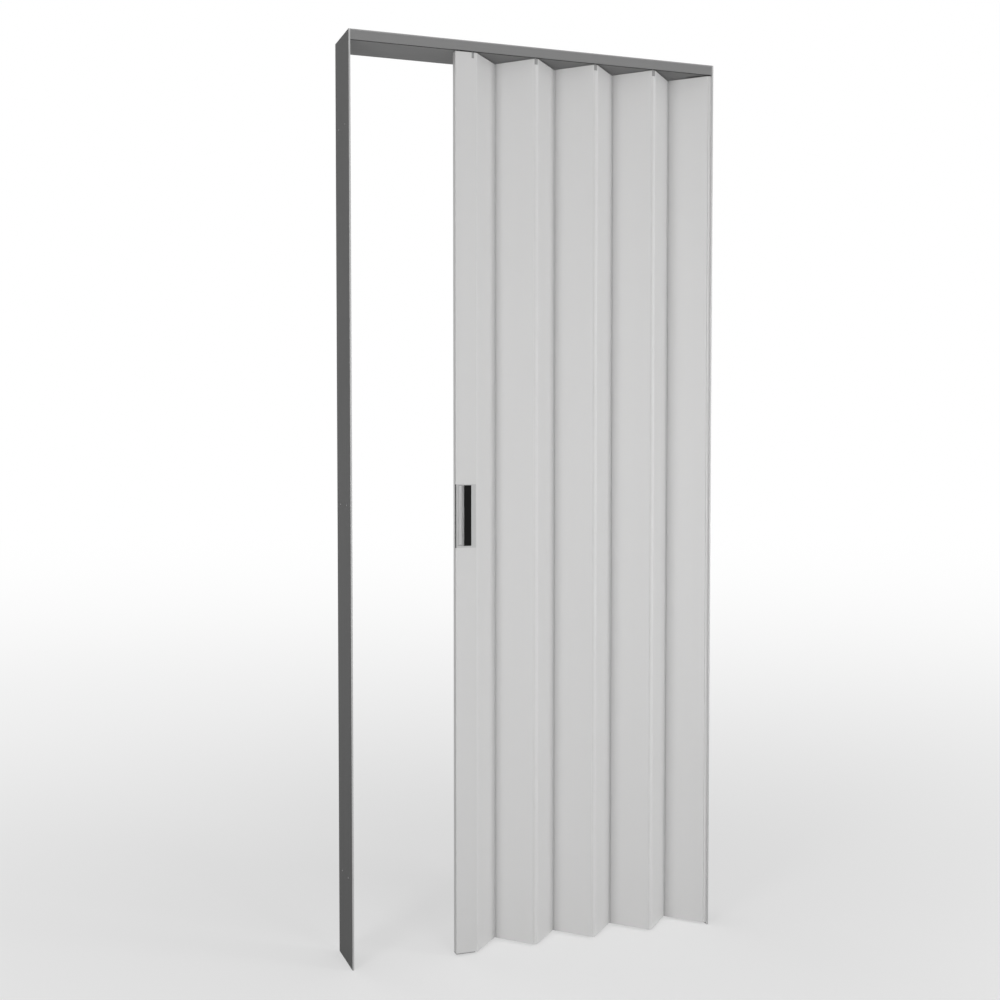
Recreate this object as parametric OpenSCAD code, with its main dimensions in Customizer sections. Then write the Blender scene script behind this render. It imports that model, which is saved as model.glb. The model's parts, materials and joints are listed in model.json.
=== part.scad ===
// Accordion door in its own slim metal frame.
// Eight hollow slats fold between a fixing profile on the right jamb and a lead post on the left.
// Neighbouring slats meet in hinge strips: a round bead on each side of the strip turns in the
// open round knuckle along each slat's edge. Wheeled hangers carry the strips that fold forwards.

/* [Frame] */
// Overall width of the frame
frame_w = 900; // [760:5:1200]
// Overall height of the frame
frame_h = 2100; // [1900:10:2400]
// Depth of the frame
frame_d = 130; // [115:1:200]
// Thickness of the two jambs
jamb_t = 4; // [3:0.5:7]
// Thickness of the board across the top
board_t = 3; // [2:0.5:6]
// Bevel on the long edges of the jambs and the board
edge_bevel = 0.5; // [0.2:0.1:1]

/* [Wall fixings] */
// Radius of the holes for the wall screws
fixing_r = 2.75; // [2:0.25:3.5]
// Radius of the countersink round each wall screw hole
fixing_sink_r = 5.2; // [4.5:0.1:6]
// Distance from the front of the frame to the front column of holes
fixing_front = 38; // [36:1:45]
// Distance between the two columns of holes
fixing_columns = 60; // [40:1:64]
// Distance of the lowest and the highest row from the ends of the jamb
fixing_margin = 200; // [120:5:400]

/* [Head track] */
// Height of the front face of the track, below the top board
fascia_h = 19.5; // [19:0.5:28]
// How far the front face hangs below the underside
fascia_lip = 0.8; // [0.4:0.1:2]
// Wall thickness of the track
track_wall = 1.5; // [1.2:0.1:2]
// How far the track stops short of the back of the frame
track_back = 5; // [0:0.5:12]
// Width of the slot that the hangers pass through
slot_w = 4.4; // [4:0.1:5]
// Radius of the bore of each screw port in the track
port_r = 1.7; // [1.4:0.1:2]
// Wall round each screw port
port_wall = 1.6; // [1.2:0.1:2]
// How far each screw port is let into the roof of the track
port_bed = 0.4; // [0.2:0.1:0.6]
// Width of the slit along each screw port
port_slit = 1.4; // [1:0.1:2]
// Distance of the outer screw ports from the walls beside them
port_inset = 9; // [6:0.5:12]
// Distance of the first and the last screw that hold the track from the jambs
track_screw_inset = 60; // [40:5:120]
// Gap between the buffer and the walls of the runner channel
buffer_fit = 1; // [0.5:0.1:1.5]
// Gap between the buffer and the first hanger when the door is shut
buffer_gap = 0.3; // [0.3:0.1:1]

/* [Curtain] */
// Distance between the left jamb and the lead post as the door stands
door_gap = 243.5; // [60:0.5:560]
// Gap left between the lead post and the left jamb when the door is shut
close_gap = 0.5; // [0.4:0.1:3]
// Angle that the slats keep when the door is shut
fold_closed = 6; // [4:0.5:10]
// Angle of the slats when the door is folded away
fold_stacked = 83; // [75:1:84]
// Gap between the curtain and the floor
bottom_gap = 4; // [3:0.5:12]
// Gap between the curtain and the underside of the track
top_gap = 2.8; // [2:0.1:5]
// Distance from the front of the frame to the front of the curtain
setback = 4.5; // [4:0.1:8]

/* [Slats and hinge strips] */
// Thickness of a slat, which is also the outside width of its knuckles
slat_t = 7; // [6.5:0.1:8]
// Wall thickness of a slat
slat_wall = 1.1; // [0.9:0.05:1.2]
// Thickness of the ribs inside a slat
rib_t = 1; // [0.8:0.1:1.5]
// Number of hollow chambers in a slat
chambers = 5; // [3:1:7]
// Solid length between a knuckle and the first chamber
knuckle_root = 1.8; // [1.5:0.1:3]
// Gap between a bead and the knuckle that turns on it
bead_fit = 0.07; // [0.05:0.01:0.1]
// Gap between two neighbouring knuckles in one strip
knuckle_gap = 1.4; // [1.4:0.1:2.5]
// Thickness of the neck that joins the beads
neck_t = 1.4; // [1.2:0.1:1.5]
// Thickness of the stem that carries the cover of a strip
stem_t = 1; // [0.8:0.1:1.2]
// Width of the flat cover of a hinge strip
cover_w = 7.4; // [6:0.1:8.4]
// Thickness of the cover of a hinge strip
cover_t = 1.2; // [1:0.1:1.6]
// Bevel on the front edges of a cover
cover_bevel = 0.3; // [0.2:0.1:0.5]
// Gap between a cover and the knuckles behind it
cover_gap = 0.3; // [0.3:0.05:0.6]
// Free angle on each side of a neck in the mouth of its knuckle
mouth_free = 6; // [5:0.5:8]

/* [Fixing profile] */
// Distance from the right jamb to the axis of the last knuckle
fix_reach = 7.6; // [7.2:0.1:9]
// Thickness of the flange on the jamb
flange_t = 1.5; // [1.2:0.1:1.8]
// Depth of the flange on the jamb
flange_d = 24; // [20:0.5:26]
// Number of screws in the flange
flange_screws = 5; // [3:1:7]
// Distance of these screws from the back edge of the flange
flange_screw_inset = 6.5; // [5:0.5:8]
// Distance of the lowest and the highest of them from the ends of the profile
flange_screw_margin = 90; // [40:5:200]
// How far the profile's cover ends before the axis of its bead
fix_cover_back = 0.6; // [0.4:0.1:1]

/* [Lead post] */
// Width of the lead post
post_w = 46.5; // [44:0.5:60]
// Thickness of the lead post
post_t = 18; // [17:0.5:22]
// Wall thickness of the lead post
post_wall = 1.5; // [1.2:0.1:2]
// Distance from the lead post to the axis of the first knuckle
post_reach = 4.1; // [4.1:0.1:5]
// Length of the plugs in the ends of the lead post
plug_len = 26; // [20:1:40]
// Thickness of the plate that closes the bottom of the lead post
foot_t = 2; // [1.5:0.5:3]
// Gap round the plugs
plug_fit = 0.15; // [0.1:0.05:0.3]
// Wall thickness of the hollow plugs
plug_wall = 2; // [1.5:0.1:3]
// Distance of the plug's screws from the inside walls of the post
plug_screw_inset = 9; // [7:0.5:12]
// Wall left round each of these screws
plug_screw_wall = 6; // [4:0.5:8]
// How far the front lip of the post ends before the axis of the first knuckle
lip_back = 0.4; // [0.3:0.1:1]

/* [Hangers] */
// Radius of the wheels
wheel_r = 5.5; // [4.5:0.1:6]
// Width of one wheel
wheel_w = 3.4; // [3:0.1:3.6]
// Gap between the wheels and the track
wheel_lift = 0.2; // [0.1:0.05:0.3]
// Radius of the axles
axle_r = 1.25; // [1:0.05:1.5]
// Gap between an axle and its bore
axle_fit = 0.05; // [0.02:0.01:0.1]
// Thickness of the hanger plate between the wheels
plate_t = 3.8; // [3.2:0.1:4]
// Width of the hanger plate
plate_w = 12; // [8:0.5:14]
// Gap between the rails and the hanger plate
plate_lift = 1.2; // [0.8:0.1:1.4]
// Height of the hanger plate above the axle
plate_crown = 3.4; // [2.8:0.1:3.8]
// Height of the web that joins the two plates of the lead hanger
web_h = 3; // [2:0.5:4]
// Radius of the hub of a wheel
hub_r = 2.4; // [2:0.1:2.8]
// How far the hub stands off the wheel's face
hub_step = 0.3; // [0.2:0.1:0.5]
// Bevel on the tread of a wheel
tread_bevel = 0.4; // [0.2:0.1:0.6]
// Thickness of the rim round the hollow of a wheel
wheel_rim = 1.3; // [1:0.1:1.6]
// Depth of the hollow in a wheel's outer face
wheel_dish = 0.7; // [0.4:0.1:1]
// How far an axle stands out of its wheels
axle_end = 0.6; // [0.3:0.1:1]
// Gap between the hanger plate and the hub of a wheel
hub_gap = 0.3; // [0.2:0.05:0.4]
// Radius of the stem that passes through the slot
hanger_stem_r = 1.5; // [1.2:0.1:1.7]
// Height of the notch for the hanger at the top of a strip
notch_h = 13; // [10:0.5:18]
// Width of the notch in the lead post
notch_w = 6; // [5:0.5:7]
// How far the hanger's face in that notch lies behind the post's face
notch_set = 0.3; // [0.1:0.1:0.8]
// Radius of the prongs that hold a hanger in its strip
prong_r = 0.9; // [0.7:0.05:1.1]
// Length of the prongs
prong_len = 20; // [12:1:30]
// Gap round the prongs
prong_fit = 0.05; // [0.02:0.01:0.1]

/* [Handle] */
// Height of the middle of the handle above the floor
handle_z = 1022.5; // [900:0.5:1150]
// Height of the handle
handle_h = 146; // [110:1:180]
// How far the rim of the handle stands off the post
rim_t = 0.8; // [0.5:0.1:1.5]
// Distance of the rim from the left edge of the post's face
rim_inset = 0.8; // [0.6:0.1:1.5]
// Distance of the rim from the end of the post's lip
rim_end_inset = 2.2; // [1.5:0.1:3]
// Bevel on the long edges of the rim
rim_bevel = 0.4; // [0.2:0.1:0.6]
// Width of the rim on the left of the scoop
rim_left = 2; // [1.8:0.1:3]
// Width of the rim on the right of the scoop
rim_right = 10.2; // [9:0.1:11]
// Width of the rim above the scoop
rim_head = 1.6; // [1.6:0.1:3]
// Width of the rim below the scoop
rim_foot = 3.8; // [1.6:0.1:6]
// Depth of the scoop behind the face of the post
scoop_d = 12; // [10:0.5:12.5]
// Length of the ramp on the left side of the scoop
ramp_w = 18; // [12:0.5:20]
// Wall thickness of the handle cup
cup_wall = 1.3; // [1:0.1:1.6]
// Gap round the cup in the post
cup_fit = 0.15; // [0.1:0.05:0.3]
// Radius of the screw bosses behind the cup
boss_r = 3.6; // [3:0.1:4]
// Distance of the bosses from the ends of the handle
boss_margin = 28; // [20:1:36]
// Distance of the bosses from the right side of the scoop
boss_inset = 9; // [7:0.5:12]
// Width of the grip bar
grip_w = 16.8; // [14:0.1:18]
// Thickness of the grip bar
grip_t = 4.6; // [4:0.1:5.5]
// Gap between the grip bar and the right side of the scoop
grip_right = 0.4; // [0.3:0.1:2]
// How far the front of the grip bar lies behind the front of the rim
grip_set = 0.5; // [0.2:0.1:1.5]
// Front bevel of the grip bar
grip_bevel = 0.8; // [0.4:0.1:1]
// Back bevel of the grip bar
grip_back_bevel = 1.4; // [0.8:0.1:1.8]
// Gap at each end of the grip bar
grip_fit = 0.1; // [0.05:0.05:0.3]
// Radius of the spigots at the ends of the grip bar
spigot_r = 1.2; // [1:0.1:1.4]
// Gap round the spigots
spigot_fit = 0.05; // [0.02:0.01:0.1]

/* [Screws] */
// Radius of a screw's shank
screw_r = 1.65; // [1.5:0.05:1.7]
// Gap round a shank in a close hole
screw_fit = 0.05; // [0.02:0.01:0.1]
// Gap round a shank in a free hole
screw_free = 0.3; // [0.2:0.05:0.4]
// Radius of a pan head
pan_r = 3.3; // [3:0.1:3.6]
// Height of a pan head
pan_h = 1.6; // [1.2:0.1:1.8]
// Bevel round a pan head
pan_bevel = 0.7; // [0.4:0.1:0.9]
// Radius of a countersunk head
sunk_r = 3.6; // [3.2:0.1:4]
// Length of the point of a screw
screw_point = 1.2; // [0.8:0.1:1.5]
// Radius of the flat at the end of the point
point_r = 0.5; // [0.3:0.1:0.7]
// Length of the cross slot in a head
slot_len = 3.7; // [3:0.1:4]
// Width of the cross slot
slot_t = 0.7; // [0.5:0.1:0.9]
// Depth of the cross slot
slot_deep = 0.8; // [0.6:0.1:1]
// Length of the screws through the jambs
jamb_screw_len = 22; // [16:1:30]
// How far the other screws end before the face behind them
screw_short = 0.4; // [0.2:0.1:0.8]

/* [Hidden] */
$fn = 48;
SLATS = 8;
FRAME_COLOUR = [0.50, 0.50, 0.52];
SLAT_COLOUR = [0.90, 0.90, 0.90];
STRIP_COLOUR = [0.95, 0.95, 0.95];
HANGER_COLOUR = [0.55, 0.55, 0.56];
STEEL_COLOUR = [0.72, 0.73, 0.75];
WHEEL_COLOUR = [0.93, 0.93, 0.90];
CUP_COLOUR = [0.74, 0.74, 0.75];
DARK_COLOUR = [0.08, 0.08, 0.08];

// Heights of the head
track_top = frame_h - board_t;
fascia_z = track_top - fascia_h;
under_z = fascia_z + fascia_lip;
rail_z = under_z + track_wall;
roof_z = track_top - track_wall;
track_d = frame_d - track_back;

// Curtain: heights, axis rows and fold angles
curtain_z = bottom_gap;
curtain_top = under_z - top_gap;
curtain_h = curtain_top - curtain_z;
fold_y = setback + cover_t + cover_gap + slat_t / 2;
pair_w = slat_t + knuckle_gap;
fix_x = frame_w - jamb_t - fix_reach;
post_x = jamb_t + door_gap;
lead_x = post_x + post_w + post_reach;
shut_x = jamb_t + close_gap + post_w + post_reach;
slat_run_shut = (fix_x - shut_x - (SLATS - 1) * pair_w) / SLATS;
slat_pitch = slat_run_shut / cos(fold_closed);
slat_run = (fix_x - lead_x - (SLATS - 1) * pair_w) / SLATS;
fold_rest = acos(slat_run / slat_pitch);
back_y = fold_y + slat_pitch * sin(fold_rest);

// Knuckle: socket in the slat, bead in the socket, and the mouth that the neck swings in
socket_r = slat_t / 2 - slat_wall;
bead_r = socket_r - bead_fit;
neck_half_angle = asin(neck_t / 2 / socket_r);
mouth_from = 180 - fold_stacked - neck_half_angle - mouth_free;
mouth_to = 180 - fold_closed + neck_half_angle + mouth_free;
strip_face = slat_t / 2 + cover_gap + cover_t;

// Runner channel and hangers
channel_half = fold_y - track_wall;
wheel_z = rail_z + wheel_lift + wheel_r;
plate_z = rail_z + plate_lift;
plate_top = wheel_z + plate_crown;
hub_y = plate_t / 2 + hub_gap;
wheel_y = hub_y + hub_step;
axle_half = wheel_y + wheel_w + axle_end;
notch_z = curtain_top - notch_h;

// Lead post and its hanger
post_front = setback;
post_back = setback + post_t;
notch_x = post_w - post_wall - notch_w;
lead_stem_right = notch_x + notch_w / 2;
lead_stem_left = post_wall + plug_screw_inset;
foot_z = curtain_z + foot_t;
lip_end = post_w + post_reach - lip_back;

// Handle
rim_w = lip_end - rim_inset - rim_end_inset;
scoop_x = rim_inset + rim_left;
scoop_end = rim_inset + rim_w - rim_right;
handle_low = handle_z - handle_h / 2;
handle_top = handle_z + handle_h / 2;
scoop_low = handle_low + rim_foot;
scoop_top = handle_top - rim_head;
grip_x = scoop_end - grip_right - grip_w;
grip_y = post_front - rim_t + grip_set;

// Cuts run past the faces that they open
past = 1;
skin = 0.02;

// Moves from the left front corner of the frame to the middle of its footprint
module placed() translate([-frame_w / 2, -frame_d / 2, 0]) children();

// Runs a drawn section of the head along the frame: x is depth and y is height
module along_head(from, to) {
    translate([from, 0, 0]) rotate([90, 0, 90]) linear_extrude(to - from) children();
}

// Flat bar section with its four corners bevelled
module bevelled_bar(w, d, b) {
    polygon([[b, 0], [w - b, 0], [w, b], [w, d - b], [w - b, d], [b, d], [0, d - b], [0, b]]);
}

// Cross slot cut upwards into a head whose face lies at z
module cross_slot(z) for (a = [0, 90]) rotate([0, 0, a])
    translate([-slot_len / 2, -slot_t / 2, z - past]) cube([slot_len, slot_t, slot_deep + past]);

// Screw along +Z: its head ends at z = 0 and its shank points up
module pan_screw(len) {
    difference() {
        rotate_extrude() polygon([[0, -pan_h], [pan_r - pan_bevel, -pan_h], [pan_r, pan_bevel - pan_h],
            [pan_r, 0], [screw_r, 0], [screw_r, len - screw_point], [point_r, len], [0, len]]);
        cross_slot(-pan_h);
    }
}

// Countersunk screw along +Z: the flat of its head lies at z = 0
module sunk_screw(head_r, len) {
    difference() {
        rotate_extrude() polygon([[0, 0], [head_r, 0], [screw_r, head_r - screw_r],
            [screw_r, len - screw_point], [point_r, len], [0, len]]);
        cross_slot(0);
    }
}

// Frame
port_ro = port_r + port_wall;
port_z = roof_z - port_ro + port_bed;
port_first = fold_y + channel_half + track_wall + port_inset;
port_last = track_d - track_wall - port_inset;
ports_y = [port_first, (port_first + port_last) / 2, port_last];

// Countersunk hole through a wall that starts at z = 0
module sunk_hole(wall, r, sink_r) {
    translate([0, 0, -past]) cylinder(r = r, h = wall + 2 * past);
    translate([0, 0, -skin]) cylinder(r1 = sink_r + skin, r2 = r, h = sink_r - r + skin);
}

module port_holes() for (y = ports_y) translate([0, y, port_z]) rotate([0, 90, 0])
    sunk_hole(jamb_t, screw_r + screw_free, sunk_r + screw_fit);

module wall_holes() {
    for (row = [fixing_margin, frame_h / 2, frame_h - fixing_margin])
        for (col = [fixing_front, fixing_front + fixing_columns]) translate([jamb_t, col, row])
            rotate([0, -90, 0]) sunk_hole(jamb_t, fixing_r, fixing_sink_r);
}

module jamb() {
    difference() {
        linear_extrude(frame_h) bevelled_bar(jamb_t, frame_d, edge_bevel);
        port_holes();
        wall_holes();
    }
}

module left_jamb() color(FRAME_COLOUR) placed() jamb();

flange_screw_y = setback + flange_d - flange_screw_inset;
function flange_screw_z(i) =
    curtain_z + flange_screw_margin + i * (curtain_h - 2 * flange_screw_margin) / (flange_screws - 1);

module right_jamb() color(FRAME_COLOUR) placed() difference() {
    translate([frame_w, 0, 0]) mirror([1, 0, 0]) jamb();
    for (i = [0 : flange_screws - 1]) translate([frame_w + past, flange_screw_y, flange_screw_z(i)])
        rotate([0, -90, 0]) cylinder(r = screw_r + screw_fit, h = jamb_t + 2 * past);
}

track_screw_run = frame_w - 2 * jamb_t - 2 * track_screw_inset;
track_screws_x = [for (i = [0 : 3]) jamb_t + track_screw_inset + i * track_screw_run / 3];

module top_board() color(FRAME_COLOUR) placed() difference() {
    translate([0, 0, track_top]) along_head(jamb_t, frame_w - jamb_t)
        bevelled_bar(frame_d, board_t, edge_bevel);
    for (x = track_screws_x) translate([x, fold_y, track_top - past])
        cylinder(r = screw_r + screw_fit, h = board_t + 2 * past);
}

module track_section() {
    difference() {
        translate([0, under_z]) square([track_d, track_top - under_z]);
        translate([track_wall, rail_z]) square([2 * channel_half, roof_z - rail_z]);
        translate([fold_y - slot_w / 2, under_z - past]) square([slot_w, track_wall + 2 * past]);
        translate([fold_y + channel_half + track_wall, rail_z])
            square([track_d - fold_y - channel_half - 2 * track_wall, roof_z - rail_z]);
    }
    translate([0, fascia_z]) square([track_wall, fascia_lip + track_wall]);
    for (y = ports_y) translate([y, port_z]) difference() {
        circle(r = port_ro);
        circle(r = port_r);
        translate([-port_slit / 2, -port_ro - past]) square([port_slit, port_ro + past]);
    }
}

module head_track() color(FRAME_COLOUR) placed() difference() {
    along_head(jamb_t, frame_w - jamb_t) track_section();
    for (x = track_screws_x) translate([x, fold_y, roof_z - past])
        cylinder(r = screw_r + screw_free, h = track_wall + 2 * past);
}

module jamb_screws() color(STEEL_COLOUR) placed() for (y = ports_y) {
    translate([0, y, port_z]) rotate([0, 90, 0]) sunk_screw(sunk_r, jamb_screw_len);
    translate([frame_w, y, port_z]) rotate([0, -90, 0]) sunk_screw(sunk_r, jamb_screw_len);
}

module track_screws() color(STEEL_COLOUR) placed()
    for (x = track_screws_x) translate([x, fold_y, roof_z]) pan_screw(track_wall + board_t - screw_short);

module fixing_section() {
    translate([fix_x, fold_y]) circle(r = bead_r);
    translate([fix_x, fold_y - neck_t / 2]) square([fix_reach - flange_t / 2, neck_t]);
    translate([fix_x + fix_reach - flange_t, setback]) square([flange_t, flange_d]);
    translate([fix_x + fix_cover_back, setback]) square([fix_reach - fix_cover_back, cover_t]);
}

module fixing_profile() color(STRIP_COLOUR) placed() difference() {
    translate([0, 0, curtain_z]) linear_extrude(curtain_h) fixing_section();
    for (i = [0 : flange_screws - 1]) translate([fix_x, flange_screw_y, flange_screw_z(i)])
        rotate([0, 90, 0]) cylinder(r = screw_r + screw_free, h = fix_reach + past);
}

module fixing_screws() color(STEEL_COLOUR) placed()
    for (i = [0 : flange_screws - 1])
        translate([fix_x + fix_reach - flange_t, flange_screw_y, flange_screw_z(i)])
            rotate([0, 90, 0]) pan_screw(flange_t + jamb_t - screw_short);

buffer_w = close_gap + lead_stem_left - max(wheel_r, plate_w / 2) - buffer_gap;
buffer_half = channel_half - buffer_fit;

module track_buffer() color(DARK_COLOUR) placed() difference() {
    translate([jamb_t, fold_y - buffer_half, rail_z]) cube([buffer_w, 2 * buffer_half, roof_z - rail_z]);
    translate([jamb_t - past, fold_y - slot_w / 2, rail_z - past])
        cube([buffer_w + 2 * past, slot_w, track_wall + 2 * past]);
}

// Round hole of a knuckle, and the wedge of its mouth between the two angles
module knuckle_cut() {
    third = (mouth_to - mouth_from) / 3;
    circle(r = socket_r);
    polygon(concat([[0, 0]],
        [for (k = [0 : 3]) let (a = mouth_from + k * third) slat_t * [cos(a), sin(a)]]));
}

// Slat section with its front axis at the origin and its back axis at x = slat_pitch
module slat_section() {
    first = slat_t / 2 + knuckle_root;
    chamber_w = (slat_pitch - 2 * first - (chambers - 1) * rib_t) / chambers;
    difference() {
        union() {
            translate([0, -slat_t / 2]) square([slat_pitch, slat_t]);
            circle(r = slat_t / 2);
            translate([slat_pitch, 0]) circle(r = slat_t / 2);
        }
        knuckle_cut();
        translate([slat_pitch, 0]) rotate(180) knuckle_cut();
        for (i = [0 : chambers - 1]) translate([first + i * (chamber_w + rib_t), -slat_t / 2 + slat_wall])
            square([chamber_w, slat_t - 2 * slat_wall]);
    }
}

// Middle of the hinge strip at fold j, counted from the lead post, and whether it folds forwards
function strip_x(j) = fix_x - (SLATS + 1 - j) * (slat_run + pair_w) + pair_w / 2;
function is_front(j) = j % 2 == 1;

module slat(i) {
    left_x = i == 1 ? lead_x : strip_x(i) + pair_w / 2;
    right_x = i == SLATS ? fix_x : strip_x(i + 1) - pair_w / 2;
    color(SLAT_COLOUR) placed() translate([is_front(i) ? left_x : right_x, fold_y, curtain_z])
        linear_extrude(curtain_h)
            if (is_front(i)) rotate(fold_rest) slat_section();
            else mirror([1, 0]) rotate(fold_rest) slat_section();
}

// Hinge strip section: two beads on a neck, and a cover carried in front of them
module strip_section() {
    for (s = [-1, 1]) translate([s * pair_w / 2, 0]) circle(r = bead_r);
    translate([-pair_w / 2, -neck_t / 2]) square([pair_w, neck_t]);
    translate([-stem_t / 2, -strip_face + cover_t / 2]) square([stem_t, strip_face - cover_t / 2]);
    translate([-cover_w / 2, -strip_face]) polygon([[cover_bevel, 0], [cover_w - cover_bevel, 0],
        [cover_w, cover_bevel], [cover_w, cover_t], [0, cover_t], [0, cover_bevel]]);
}

module front_strip(j) color(STRIP_COLOUR) placed() translate([strip_x(j), fold_y, curtain_z]) difference() {
    linear_extrude(curtain_h - notch_h) strip_section();
    for (s = [-1, 1]) translate([s * pair_w / 2, 0, curtain_h - notch_h - prong_len - past])
        cylinder(r = prong_r + prong_fit, h = prong_len + 2 * past, $fn = 24);
}

module back_strip(j) color(STRIP_COLOUR) placed() translate([strip_x(j), back_y, curtain_z])
    mirror([0, 1, 0]) linear_extrude(curtain_h) strip_section();

// Plate of a hanger, seen from the front, with round ends on the axle's height
module hanger_plate(x) {
    translate([x, fold_y + plate_t / 2, 0]) rotate([90, 0, 0]) linear_extrude(plate_t) difference() {
        union() {
            translate([-plate_w / 2, plate_z]) square([plate_w, wheel_z - plate_z]);
            intersection() {
                translate([0, wheel_z]) circle(r = plate_w / 2);
                translate([-plate_w / 2, plate_z]) square([plate_w, plate_top - plate_z]);
            }
        }
        translate([0, wheel_z]) circle(r = axle_r + axle_fit);
    }
}

// Round stem from inside the piece below it up into the plate
module hanger_stem(x) translate([x, fold_y, curtain_top - past])
    cylinder(r = hanger_stem_r, h = plate_z - curtain_top + 2 * past);

module hanger(j) color(HANGER_COLOUR) placed() {
    translate([strip_x(j), fold_y, notch_z]) {
        linear_extrude(notch_h) strip_section();
        for (s = [-1, 1]) translate([s * pair_w / 2, 0, -prong_len])
            cylinder(r = prong_r, h = prong_len + past, $fn = 24);
    }
    hanger_stem(strip_x(j));
    hanger_plate(strip_x(j));
}

module axle(x) color(STEEL_COLOUR) placed() translate([x, fold_y, wheel_z]) rotate([90, 0, 0])
    translate([0, 0, -axle_half]) cylinder(r = axle_r, h = 2 * axle_half);

// One wheel turned about +Z: its hub starts at z = hub_y
module wheel() {
    outer = wheel_y + wheel_w;
    tread_r = wheel_r - tread_bevel;
    rotate_extrude() polygon([[axle_r, hub_y], [hub_r, hub_y], [hub_r + hub_step, wheel_y],
        [tread_r, wheel_y], [wheel_r, wheel_y + tread_bevel], [wheel_r, outer - tread_bevel],
        [tread_r, outer], [wheel_r - wheel_rim, outer], [wheel_r - wheel_rim - hub_step, outer - wheel_dish],
        [hub_r + hub_step, outer - wheel_dish], [hub_r, outer], [axle_r, outer]]);
}

module wheels(x) color(WHEEL_COLOUR) placed() translate([x, fold_y, wheel_z])
    for (a = [90, -90]) rotate([a, 0, 0]) wheel();

// Lead post, drawn from its left front corner
module post_section() {
    difference() {
        square([post_w, post_t]);
        translate([post_wall, post_wall]) square([post_w - 2 * post_wall, post_t - 2 * post_wall]);
    }
    square([lip_end, cover_t]);
    translate([post_w - post_wall, fold_y - post_front - neck_t / 2])
        square([post_reach + post_wall, neck_t]);
    translate([post_w + post_reach, fold_y - post_front]) circle(r = bead_r);
}

plug_at = post_wall + plug_fit;
plug_w = post_w - 2 * plug_at;
plug_t = post_t - 2 * plug_at;
plug_screws_x = [post_wall + plug_screw_inset, post_w - post_wall - plug_screw_inset];
plug_screw_z = curtain_top - plug_len / 2;
plug_screw_len = plug_t - plug_wall;
pocket_w = plug_screws_x[1] - plug_screws_x[0] - 2 * plug_screw_wall;
handle_screws_z = [handle_low + boss_margin, handle_top - boss_margin];
cup_x = scoop_x - cup_wall;
cup_h = scoop_top - scoop_low + 2 * cup_wall;
cup_right = scoop_end + cup_wall;
handle_screw_x = scoop_end - boss_inset;
handle_screw_len = post_t - scoop_d - screw_point;

// Hole through the back wall of the post
module back_hole(x, z, r) translate([x, post_t - post_wall - past, z]) rotate([-90, 0, 0])
    cylinder(r = r, h = post_wall + 2 * past);

module lead_post() color(SLAT_COLOUR) placed() translate([post_x, post_front, 0]) difference() {
    translate([0, 0, foot_z]) linear_extrude(curtain_top - foot_z) post_section();
    translate([notch_x, -past, notch_z]) cube([notch_w, post_wall + 2 * past, notch_h + past]);
    translate([cup_x - cup_fit, -past, scoop_low - cup_wall - cup_fit])
        cube([cup_right - cup_x + 2 * cup_fit, post_wall + 2 * past, cup_h + 2 * cup_fit]);
    for (x = plug_screws_x) back_hole(x, plug_screw_z, screw_r + screw_free);
    for (z = handle_screws_z) back_hole(handle_screw_x, z, screw_r + screw_free);
}

module lead_hanger() color(HANGER_COLOUR) placed() {
    difference() {
        translate([post_x + plug_at, post_front + plug_at, curtain_top - plug_len])
            cube([plug_w, plug_t, plug_len]);
        translate([post_x + (post_w - pocket_w) / 2, post_front + plug_at + plug_wall,
            curtain_top - plug_len - past])
            cube([pocket_w, plug_t - 2 * plug_wall, plug_len - 2 * plug_wall + past]);
        for (x = plug_screws_x) translate([post_x + x, post_back + past, plug_screw_z])
            rotate([90, 0, 0]) cylinder(r = screw_r + screw_fit, h = plug_screw_len + post_wall + past);
    }
    translate([post_x + notch_x + plug_fit, post_front + notch_set, notch_z + plug_fit])
        cube([notch_w - 2 * plug_fit, post_wall + past, notch_h - plug_fit]);
    for (x = [lead_stem_left, lead_stem_right]) {
        hanger_stem(post_x + x);
        hanger_plate(post_x + x);
    }
    translate([post_x + lead_stem_left, fold_y - plate_t / 2, plate_z])
        cube([lead_stem_right - lead_stem_left, plate_t, web_h]);
}

module foot_plug() color(HANGER_COLOUR) placed() translate([post_x, post_front, curtain_z]) {
    cube([post_w, post_t, foot_t]);
    translate([plug_at, plug_at, 0]) difference() {
        cube([plug_w, plug_t, plug_len / 2]);
        translate([plug_wall, plug_wall, foot_t])
            cube([plug_w - 2 * plug_wall, plug_t - 2 * plug_wall, plug_len]);
    }
}

module plug_screws() color(STEEL_COLOUR) placed() for (x = plug_screws_x)
    translate([post_x + x, post_back, plug_screw_z]) rotate([90, 0, 0])
        pan_screw(post_wall + plug_screw_len - screw_short);

// Handle: a flush cup with a ramp down to its floor, and a grip bar standing in it
module scoop_section() polygon([[scoop_x, -rim_t - past], [scoop_x, -rim_t],
    [scoop_x + ramp_w, scoop_d], [scoop_end, scoop_d], [scoop_end, -rim_t - past]]);

module cup_section() polygon([[cup_x, 0], [cup_x, cup_wall - rim_t],
    [cup_x + ramp_w, scoop_d + cup_wall], [cup_right, scoop_d + cup_wall], [cup_right, 0]]);

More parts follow.
